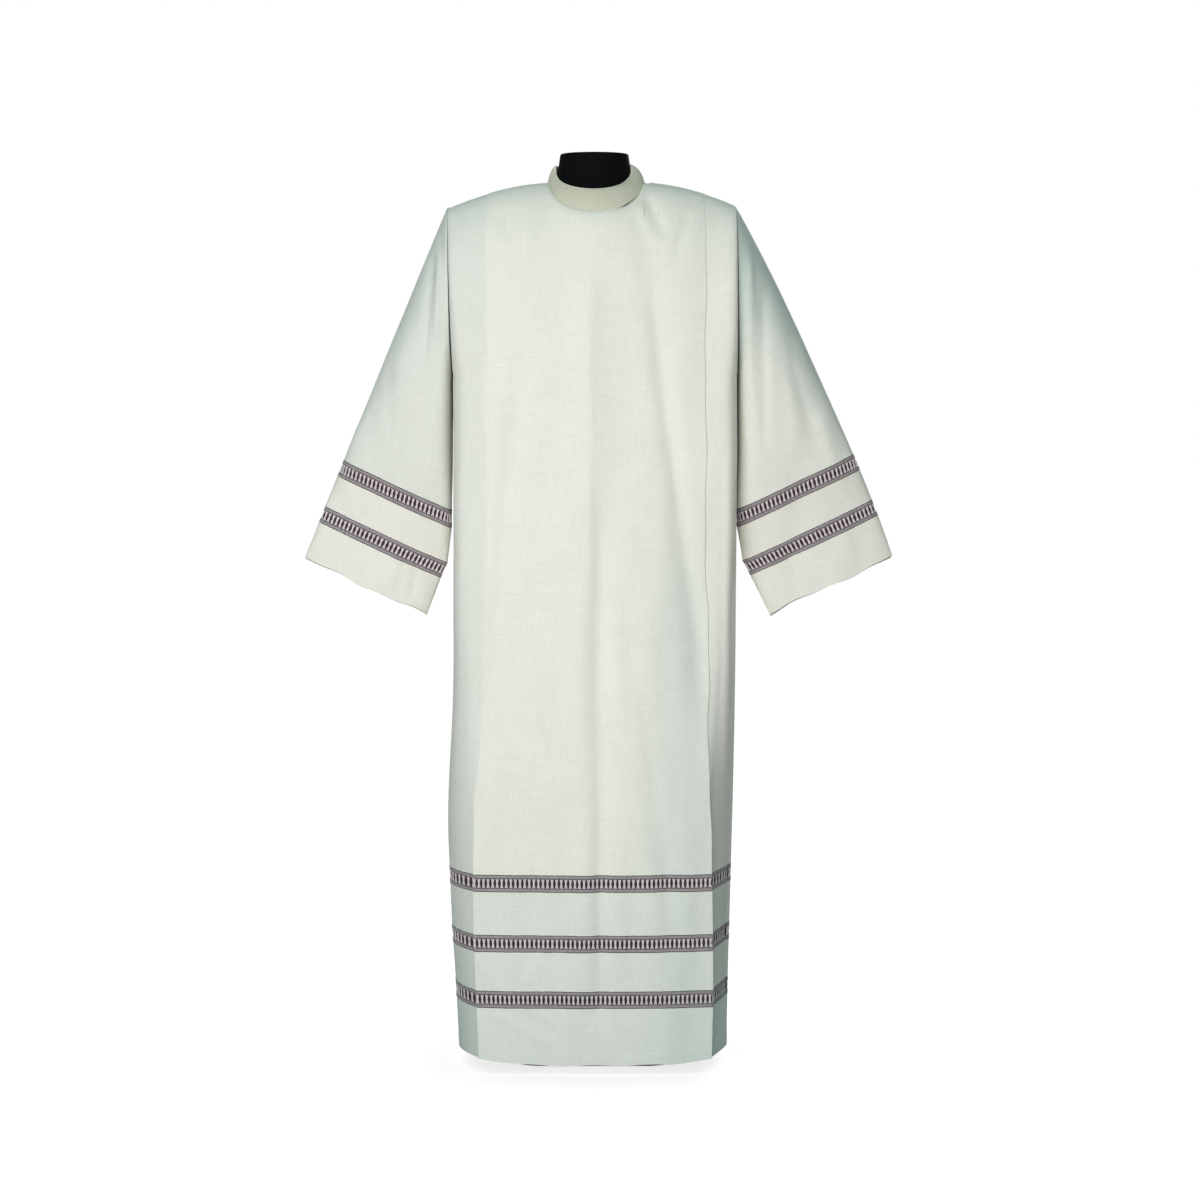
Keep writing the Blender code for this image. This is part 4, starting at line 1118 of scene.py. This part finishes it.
# ------------------------------------------------------------------ sleeves
# Wide straight sleeves of the same cloth, set into the armholes and hanging flat beside
# the body. Each has two insertions with a plain strip between them, and a cuff strip with
# a turned edge. Their inner sides lie against the body.
Sleeve = namedtuple("Sleeve", "name side tip_z cuff_x cuff_z tilt bow hem flat area")
SLEEVES = (
    Sleeve("right", -1, 1.4749, 0.4998, 0.8739, 24.8, 0.001, 0.067, (0.705, 0.468), 0.155),
    Sleeve("left", 1, 1.4727, 0.5136, 0.8774, 25.2, 0.012, 0.077, (0.701, 0.462), 0.161),
)
SLEEVE_STRIP = 0.0575
SLEEVE_GAP = 0.0014      # between the armhole and the sleeve's edge
BODY_GAP = 0.0031        # between the body's side and the sleeve
CUFF_EDGE = 1.2          # how sharp the cuff's outer edge is, 1 is an ellipse
ARMHOLE_EDGE = 0.85      # and the sleeve's inner edge at the armhole
SLEEVE_PAINTED_SHADE = {"right": (0.7, 0.6), "left": (0.25, 1.9)}  # painted shade on the face and outer edge
SLEEVE_EDGE_SHADE_WIDTH = 0.026      # width of the painted shade along the outer edge
SleeveLine = namedtuple("SleeveLine", "width_right width_left thickness inner_edge")
SLEEVE_LINES = [SleeveLine(*row) for row in (
    (0.2319, 0.2339, 0.022, 1.20),
    (0.2300, 0.2425, 0.029, 1.00),
    (0.2310, 0.2455, 0.032, 0.85),
    (0.2150, 0.2325, 0.044, 0.62),
    (0.2030, 0.2209, 0.049, 0.50))]
SLEEVE_POINTS = 108      # points round a sleeve
SLEEVE_ROWS = 84         # rows from the armhole to the first insertion
CUFF_WAVES = ((0.0022, 38, 0.6), (0.0011, 96, 0.0))  # unevenness of the cuff's edge
CUFF_BACK = 0.0042       # its back layer hangs this much lower
BACK_CREASES = 0.045     # the creases lie this much higher on the back
SLEEVE_CREASES = {
    "right": (
        (-272, 1410, -292, 1200, 8, -4.5), (-262, 1400, -268, 1230, 6, 3.0),
        (-262, 1446, -256, 1360, 6, -3.0), (-345, 1215, -350, 1080, 11, -2.4),
        (-310, 1140, -336, 1000, 10, -2.7), (-400, 1120, -438, 960, 16, 2.4),
        (-300, 1300, -380, 1060, 14, 2.1), (-330, 900, -352, 820, 9, 2.4),
        (-300, 880, -316, 800, 8, -2.7)),
    "left": (
        (286, 1345, 290, 1050, 10, -3.9), (262, 1410, 266, 1120, 8, 3.3),
        (312, 1300, 350, 1050, 14, 2.4), (330, 1220, 392, 1040, 12, -2.1),
        (380, 1140, 430, 980, 14, 2.1), (330, 900, 350, 810, 10, -2.1),
        (420, 940, 450, 860, 12, 1.8)),
}


def even_ring(points, count):
    """A closed outline's points, spaced evenly along each half of it."""
    half = len(points) // 2
    halves = []
    for part in (points[:half + 1], np.concatenate([points[half:], points[:1]])):
        steps = np.linalg.norm(np.diff(part, axis=0), axis=1)
        along = np.concatenate([[0.0], np.cumsum(steps)])
        even = np.linspace(0.0, along[-1], count // 2 + 1)[:-1]
        halves.append(np.stack([np.interp(even, along, part[:, k]) for k in range(3)], axis=1))
    return np.concatenate(halves)


def sleeve_section(outer, inner, thickness, outer_form, inner_form):
    """A flattened ring between the sleeve's outer and inner edges, front half first."""
    angle = np.linspace(0, 2 * math.pi, 400, endpoint=False)
    form = np.where(np.cos(angle) > 0, outer_form, inner_form)
    along = np.sign(np.cos(angle)) * np.abs(np.cos(angle)) ** form
    depth = -thickness * np.sign(np.sin(angle)) * np.abs(np.sin(angle)) ** form
    ring = (outer + inner) / 2 + along[:, None] * (outer - inner) / 2
    ring[:, 1] += depth
    return even_ring(ring, SLEEVE_POINTS)


def edge_ends(sleeve):
    """The lowest and highest points of the sleeve's outer edge."""
    cuff = np.array((sleeve.side * sleeve.cuff_x, 0.0, sleeve.cuff_z))
    tip = np.array((sleeve.side * (TIP_X[sleeve.name] + SLEEVE_GAP), 0.0, sleeve.tip_z))
    return cuff, tip


def outer_edge(sleeve, distance):
    """A point of the sleeve's outer edge, by its distance from the cuff."""
    cuff, tip = edge_ends(sleeve)
    t = distance / np.linalg.norm(tip - cuff)
    bow = np.array((sleeve.side * sleeve.bow * (1 - abs(2 * t - 1) ** 3), 0.0, 0.0))
    return mix(cuff, tip, t) + bow


def sleeve_lines(sleeve):
    """Distance from the cuff up the outer edge to each seam line."""
    return np.cumsum((0.0, sleeve.hem, INSERTION, SLEEVE_STRIP, INSERTION))


def cuff_shape(sleeve, distance):
    """Edges, half thickness and forms of a section parallel to the cuff."""
    lines = sleeve_lines(sleeve)
    width, thickness, inner_form = [
        np.interp(distance, lines, [getattr(line, name) for line in SLEEVE_LINES])
        for name in ("width_" + sleeve.name, "thickness", "inner_edge")]
    tilt = math.radians(sleeve.tilt)
    outer = outer_edge(sleeve, distance)
    inner = outer - width * np.array((sleeve.side * math.cos(tilt), 0.0, math.sin(tilt)))
    return outer, inner, thickness, mix(CUFF_EDGE, 1.0, distance / lines[-1]), inner_form


def upper_shape(sleeve, t):
    """The same for the sleeve above its insertions: t is 0 at the armhole."""
    top_line = sleeve_lines(sleeve)[-1]
    end_inner, end_thickness, _, end_form = cuff_shape(sleeve, top_line)[1:]
    body_edge = level(np.array([UNDERARM]), sleeve.side)[0][0]
    underarm = np.array((sleeve.side * (body_edge + BODY_GAP), 0.0, UNDERARM))
    cuff, tip = edge_ends(sleeve)
    outer = outer_edge(sleeve, mix(np.linalg.norm(tip - cuff), top_line, t))
    inner = mix(underarm, end_inner, t)
    thickness = mix(ARMHOLE_DEPTH, end_thickness, t ** 2)
    return outer, inner, thickness, 1.0, mix(ARMHOLE_EDGE, end_form, t ** 0.5)


def sleeve_rings(sleeve, shape, distances):
    """The sleeve's sections at distances, in the order that turns its faces outwards."""
    rings = np.stack([sleeve_section(*shape(sleeve, distance)) for distance in distances])
    return rings if sleeve.side < 0 else np.roll(rings[:, ::-1], 1, axis=1)


def outward_of(grid):
    """Unit normals of a closed grid of rings that are counted upwards."""
    around = np.roll(grid, -1, axis=1) - np.roll(grid, 1, axis=1)
    return unit(np.cross(around, np.gradient(grid, axis=0)))


def with_relief(grid, sleeve, seam_distance, top_fade):
    """Adds creases and swells to a sleeve's rings; the pressed edges stay as they are."""
    share = np.abs(np.linspace(0, 2, grid.shape[1], endpoint=False) % 1.0 - 0.5) * 2
    keep = fade(share, 1.0, 0.84)
    x, z = grid[..., 0], grid[..., 2]
    is_front = grid[..., 1] < 0
    creases = SLEEVE_CREASES[sleeve.name]
    turn = 1.7 * sleeve.side
    relief = np.where(is_front, crease_relief(creases, x, z),
                      crease_relief(creases, x, z - BACK_CREASES))
    relief = relief + 1.2 * swell_relief(x, z, turn + 2.0 * is_front)
    relief = relief + pucker_relief(x, seam_distance[:, None], turn)
    relief = relief * keep * top_fade[:, None]
    return grid + relief[..., None] * outward_of(grid)


for sleeve in SLEEVES:
    lines = sleeve_lines(sleeve)
    carrier = f"{sleeve.name}_sleeve"
    shares = np.linspace(1.0, 0.0, SLEEVE_ROWS)
    rings = sleeve_rings(sleeve, upper_shape, shares)
    length = np.linalg.norm(rings[-1, 0] - rings[0, 0])
    rings = with_relief(rings, sleeve, (1 - shares) * length, fade(shares, 0.0, 0.12))
    roll = SEAM_ROLL * bell(shares * length, SEAM_WIDTH)
    rings = rings - roll[:, None, None] * outward_of(rings)
    # Painted shade on the sleeve: a share all over it, and more along the outer edge of its upper
    # part, where it turns away from the light.
    edge_x = np.abs(rings[..., 0]).max(axis=1, keepdims=True)
    near_edge = bell(edge_x - np.abs(rings[..., 0]), SLEEVE_EDGE_SHADE_WIDTH)
    face, outer = SLEEVE_PAINTED_SHADE[sleeve.name]
    shade = face + outer * near_edge * fade(shares, 1.0, 0.375)[:, None]
    upper = cloth_piece(f"{sleeve.name}_sleeve_cloth", rings, ivory, closed=True, shade=shade)
    shown_for(upper, carrier)

    for name, low, high, around in (("cuff_strip", lines[0], lines[1], 0.485),
                                    ("sleeve_strip", lines[2], lines[3], 0.510)):
        distances = strip_heights(low, high)
        rings = sleeve_rings(sleeve, cuff_shape, distances)
        from_seam = np.minimum(distances - low, high - distances)
        if name == "cuff_strip":
            from_seam = high - distances
            wave = waves(rings[..., 0], CUFF_WAVES) - CUFF_BACK * (rings[..., 1] > 0)
            wave = wave * (from_seam / (high - low))[:, None] ** 2
            rings = rings - wave[..., None] * unit(rings[0] - rings[-1])
        rings = with_relief(rings, sleeve, from_seam, np.ones(len(distances)))
        strip = cloth_piece(f"{sleeve.name}_{name}_cloth", rings, ivory, closed=True)
        shown_for(strip, f"{sleeve.name}_{name}")

    for number, low in ((1, lines[3]), (2, lines[1])):
        distances = np.array([low, low + INSERTION / 2, low + INSERTION])
        rings = sleeve_rings(sleeve, cuff_shape, distances)
        rings = with_relief(rings, sleeve, np.full(3, INSERTION), np.ones(3))
        openwork(f"{sleeve.name}_sleeve", number, rings,
                 f"{sleeve.name}_sleeve_insertion_{number}")

# ------------------------------------------------------------------ stand collar
# A band of two layers of the cloth over a stiffener, sewn to the neckline. Its upper edge
# is rolled over softly, and its front end laps over its back end on the left shoulder.
COLLAR_POINTS = 220
COLLAR_LAP = 0.26        # angle over which the ends lap
COLLAR_SPRING = 0.0018   # how far the outer end stands off near its rim
COLLAR_THICK = 0.0024
COLLAR_ROLL = 0.0010     # extra thickness of the rolled rim
COLLAR_FOOT = -0.07      # how far its foot reaches down behind the neckline's edge
STAND_OFF = (0.0008, 0.0022, 0.0036)     # of its foot: all round, at the opening, on the right
COLLAR_RIPPLES = ((0.0006, 88, 1.0), (0.0005, 37, 0.0))
RIM_PAINTED_HIGHLIGHT = (1.27, 1.27, 1.27, 1.0)       # painted highlight along the rolled rim, lighter by this
# Half widths on the wearer's right and left, reach forwards and back, height at the sides,
# front and back, and how late the line dips on its way to the middle on the right and left:
# of the seam, of the bend in the band and of its rim.
CollarLine = namedtuple("CollarLine", "right left front back side_z front_z back_z dips")
COLLAR_LINES = (
    CollarLine(*NECK_HALF.values(), *NECK_REACH.values(), SHOULDER_SIDE,
               *NECK_HEIGHT.values(), tuple(NECK_DIP.values())),
    CollarLine(0.0722, 0.0765, 0.0805, 0.0640, 1.5400, 1.4930, 1.5400, (0.70, 1.1)),
    CollarLine(0.0656, 0.0612, 0.0690, 0.0600, 1.5440, 1.5000, 1.5440, (0.62, 0.62)),
)

# Doubled ivory: the same cloth lying close over a stiffener, and firmer. Painted shade makes
# it deeper and yellower than the single cloth, and a painted highlight lightens its rim.
shaded_doubled_ivory = ivory.copy()
shaded_doubled_ivory.name = "ivory cloth over stiffener"
feed(shaded_doubled_ivory.node_tree.nodes["yarn tone"], {6: "#CBC8B3", 7: "#D7D4C0"})
feed(shaded_doubled_ivory.node_tree.nodes["deep tone"], {7: RIM_PAINTED_HIGHLIGHT})


def collar_line(angle, line):
    """Points of a line of the collar; angle 0 is the wearer's left, pi/2 the front."""
    front, left = np.sin(angle) >= 0, np.cos(angle) >= 0
    reach = np.abs(np.sin(angle))
    z = mix(line.side_z, np.where(front, line.front_z, line.back_z),
            reach ** np.where(left, line.dips[1], line.dips[0]))
    return points_at(np.where(left, line.left, line.right) * np.cos(angle),
                     np.where(front, -line.front, line.back) * reach, z)


collar_angle = -np.linspace(0, 2 * math.pi + COLLAR_LAP, COLLAR_POINTS)
foot, bend, rim = (collar_line(collar_angle, line) for line in COLLAR_LINES)
run = np.gradient(foot, axis=0)
collar_along = np.cumsum(np.linalg.norm(run, axis=1))
left_over = collar_along[-1] - collar_along
spring = COLLAR_SPRING * fade(left_over, 0.066, 0.011)
# The foot stands off the front most on the wearer's left, where the neck opens.
toward_left = np.where(np.sin(collar_angle) > 0, np.maximum(np.cos(collar_angle), 0.0), 0.0)
opening = fade(toward_left, 0.0, 0.625) * fade(toward_left, 1.075, 0.825)
on_right = fade(-np.cos(collar_angle), 0.1875, 0.8125)
stand_off = STAND_OFF[0] + STAND_OFF[1] * opening + STAND_OFF[2] * on_right
ripple = waves(collar_along, COLLAR_RIPPLES)

outer = np.concatenate([[COLLAR_FOOT], np.linspace(0.0, 0.97, 15)])
half_thick = COLLAR_THICK / 2 + COLLAR_ROLL / 2 * bell(outer - 1, 0.12)
section = list(zip(outer, half_thick))
rim_half = (COLLAR_THICK + COLLAR_ROLL) / 2
for turn in np.linspace(0.12, 0.88, 5) * math.pi:
    section.append((1.0 + 0.035 * math.sin(turn), rim_half * math.cos(turn)))
section += zip(outer[::-1], -half_thick[::-1])
rings = []
for t, depth in section:
    # The band's middle layer, t = 0 at the foot and 1 at the rim, and the way outwards.
    line = (1 - t) ** 2 * foot + 2 * t * (1 - t) * bend + t ** 2 * rim
    slope = 2 * (1 - t) * (bend - foot) + 2 * t * (rim - bend)
    out = unit(np.cross(run * (1, 1, 0.3), slope))
    lift = depth + stand_off * (1 - t) ** 2 + spring * (0.6 + 0.5 * t)
    lift = lift + ripple * math.sin(math.pi * min(max(t, 0.0), 1.0)) * (1 if depth > 0 else 0.4)
    rings.append(line + out * lift[:, None])
collar_rings = np.stack(rings, axis=1) + (AXIS_X, 0.0, 0.0)
collar = lofted("stand_collar_band", list(collar_rings), [shaded_doubled_ivory], sharp_angle=70)
layer = collar.data.uv_layers.new(name="Flat")
spot = np.zeros(len(collar.data.loops), dtype=int)
collar.data.loops.foreach_get("vertex_index", spot)
flat_place = np.stack([np.repeat(collar_along, len(section)), collar_rings[..., 2].ravel()],
                      axis=1)
layer.data.foreach_set("uv", flat_place[spot].ravel())
# Painted highlight along the rolled rim.
rim_painted_highlight = [fade(t, 0.88, 0.94) for t, depth in section]
write_painted_shading(collar, np.tile(rim_painted_highlight, COLLAR_POINTS))
shown_for(collar, "stand_collar")

# ------------------------------------------------------------------ zip flap
# A narrow flap of the cloth along the left shoulder seam, doubled and edge-stitched. It
# covers the zip that opens the neck, and ends at the collar's lap.
FLAP_WIDTH = 0.016
FLAP_BACK = 0.002        # how far it reaches behind the seam
FLAP_FALL = 0.22         # how steeply it falls on either side
FLAP_ENDS = (0.012, 0.004)               # from the collar and from the sleeve
FLAP_LIFT = 0.0014
FLAP_THICK = 0.0012
FLAP_EDGE = 0.0009       # how far its edges turn down
STITCH = 0.0024          # length of one machine stitch
STITCH_PITCH = 0.0030
STITCH_RADIUS = 0.00028

flap_x = np.linspace(NECK_HALF["left"] + FLAP_ENDS[0], TIP_X["left"] - FLAP_ENDS[1], 80)
flap_y = np.linspace(FLAP_BACK - FLAP_WIDTH, FLAP_BACK, 13)
x, y = np.meshgrid(flap_x, flap_y)
edge_drop = FLAP_EDGE * (bell(y - flap_y[0], 0.0012) + bell(y - flap_y[-1], 0.0010))
wrinkle = 0.0002 * np.sin(x * 210 + 60 * y) * np.exp(-(x - flap_x[0]) / 0.035)
wrinkle = wrinkle + 0.0001 * np.sin(x * 93 + 1.0)
beyond_pleat = fade(x - SECTIONS[-1].pleat_left, 0.0, 0.008)
pleat_step = DEEPEST_LAYER * SHOULDER_LAYER * beyond_pleat
z = shoulder_height(x) + FLAP_LIFT - FLAP_FALL * np.abs(y) - edge_drop - pleat_step + wrinkle
flap_grid = points_at(x, y, z)
flap = cloth_piece("shoulder_zip_flap", flap_grid, ivory, thickness=FLAP_THICK)
shown_for(flap, "zip_flap")


def stitch_motif():
    """One machine stitch, flat: a short thread pressed into the cloth at its ends."""
    mesh = bmesh.new()
    angles = [2 * math.pi * k / 5 for k in range(5)]
    profile = ((0.0, 0.0003), (0.25, -0.0001), (0.75, -0.0001), (1.0, 0.0003))
    add_tube(mesh, [[(share * STITCH, y + STITCH_RADIUS * math.cos(angle),
                      STITCH_RADIUS * math.sin(angle)) for angle in angles]
                    for share, y in profile], turned=True, capped=True)
    bmesh.ops.recalc_face_normals(mesh, faces=mesh.faces)
    return motif_object("stitch_motif", mesh)


# Sewing thread: spun polyester, ivory and a shade darker than the cloth it sinks into.
sewing_thread, tree, shader = new_material("ivory sewing thread", {
    "Roughness": 0.6, "Base Color": "#DAD7C8"})
stitch = stitch_motif()
for name, row in (("front", 2), ("back", 10)):
    line = flap_grid[row] + (0.0, 0.0, FLAP_THICK / 2)
    up = unit(flap_grid[row + 1] - flap_grid[row - 1])
    stitches = along_path(f"flap_{name}_stitches", line, up, (stitch,), STITCH_PITCH,
                          (sewing_thread,), closed=False)
    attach(stitches, "root")

# ------------------------------------------------------------------ studio
# A white floor, a large soft light in front and to the wearer's right, a weaker one behind
# for the back, and a dim surround, cooler above than below. The camera stands in front at
# chest height.
CAMERA_PLACE = (0.0026, -5.0, 1.15)
CAMERA_PITCH = 4.0       # degrees below the horizon
CAMERA_LENS = 87.0
LIGHTS = (("key light", (-0.85, -3.7, 1.5), (-0.05, 0.0, 0.8), 30.0),
          ("back light", (1.2, 3.6, 1.7), (0.05, 0.0, 0.8), 22.0))
LIGHT_SIZE = 2.4
LIGHT_SPREAD = 90.0      # degrees
LIGHT_COLOUR = "#FDFDFF"
SKY_ABOVE = (0.214, 0.320, 0.300, 1.0)
SKY_BELOW = (0.28, 0.225, 0.225, 1.0)
FLOOR_HALF = 30.0
FLOOR_PAINTED_SHADOW = 0.20       # how far from the robe's foot the floor's painted shadow reaches
UNDERLAY_HALF = 0.60

scene = bpy.context.scene
camera_data = bpy.data.cameras.new("camera")
camera_data.lens = CAMERA_LENS
camera_data.sensor_width = 36.0
camera = bpy.data.objects.new("camera", camera_data)
camera.location = CAMERA_PLACE
camera.rotation_euler = (math.radians(90 - CAMERA_PITCH), 0.0, 0.0)
scene.collection.objects.link(camera)
scene.camera = camera

for name, place, target, power in LIGHTS:
    lamp_data = bpy.data.lights.new(name, "AREA")
    lamp_data.shape = "DISK"
    lamp_data.size = LIGHT_SIZE
    lamp_data.spread = math.radians(LIGHT_SPREAD)
    lamp_data.energy = power
    lamp_data.color = linear(LIGHT_COLOUR)[:3]
    lamp = bpy.data.objects.new(name, lamp_data)
    lamp.location = place
    ahead = [b - a for a, b in zip(place, target)]
    pitch = math.atan2(ahead[2], math.hypot(ahead[0], ahead[1]))
    lamp.rotation_euler = (math.pi / 2 + pitch, 0.0, -math.atan2(ahead[0], ahead[1]))
    scene.collection.objects.link(lamp)

world = bpy.data.worlds.new("surround")
world.use_nodes = True
scene.world = world
tree = world.node_tree
tree.nodes.clear()
seen = add_node(tree, "ShaderNodeLightPath")
backdrop = add_node(tree, "ShaderNodeBackground", {"Color": (1.0, 1.0, 1.0, 1.0)})
way = add_node(tree, "ShaderNodeTexCoord")
way_up = add_node(tree, "ShaderNodeSeparateXYZ", {"Vector": way.outputs["Generated"]})
height_share = add_node(tree, "ShaderNodeMapRange", {
    "Value": way_up.outputs["Z"], "From Min": -0.3, "From Max": 0.3})
sky = add_node(tree, "ShaderNodeMix", {"Factor": height_share, 6: SKY_BELOW, 7: SKY_ABOVE},
               data_type="RGBA")
ambient = add_node(tree, "ShaderNodeBackground", {"Color": sky})
chosen = add_node(tree, "ShaderNodeMixShader", {
    0: seen.outputs["Is Camera Ray"], 1: ambient, 2: backdrop})
add_node(tree, "ShaderNodeOutputWorld", {"Surface": chosen})


def stage_board(name, half, z, material):
    """A square board for the robe to stand on, which isn't part of it."""
    corners = [(half * x, half * y, z) for x, y in ((-1, -1), (1, -1), (1, 1), (-1, 1))]
    board = make_mesh(name, corners, [(0, 1, 2, 3)], [material])
    return board


# The floor is matt white board that glows evenly, with a soft painted shadow round the foot
# of the robe, where the robe hides it.
white_board, tree, shader = new_material("matt white board", {
    "Roughness": 0.9, "Base Color": (0.05, 0.05, 0.05, 1.0),
    "Emission Color": (1.0, 1.0, 1.0, 1.0)})
painted_shadow = add_node(tree, "ShaderNodeAmbientOcclusion", {"Distance": FLOOR_PAINTED_SHADOW}, samples=8)
glow_and_painted_shadow = add_node(tree, "ShaderNodeMapRange", {
    "Value": painted_shadow.outputs["AO"], "From Min": 0.35, "From Max": 0.95, "To Min": 0.74,
    "To Max": 0.995})
feed(shader, {"Emission Strength": glow_and_painted_shadow})
floor = stage_board("floor", FLOOR_HALF, 0.0, white_board)
floor.visible_diffuse = False
floor.visible_glossy = False

# A dark board under it, where the robe stands, takes the light from below as a shaded
# floor does: it keeps the inside of the robe dark and lets the hem fall off in tone.
dark_board, tree, shader = new_material("matt grey board", {
    "Roughness": 0.9, "Base Color": (0.17, 0.31, 0.33, 1.0)})
stage_board("floor_underlay", UNDERLAY_HALF, -0.001, dark_board).visible_camera = False
scene.view_settings.view_transform = "Standard"
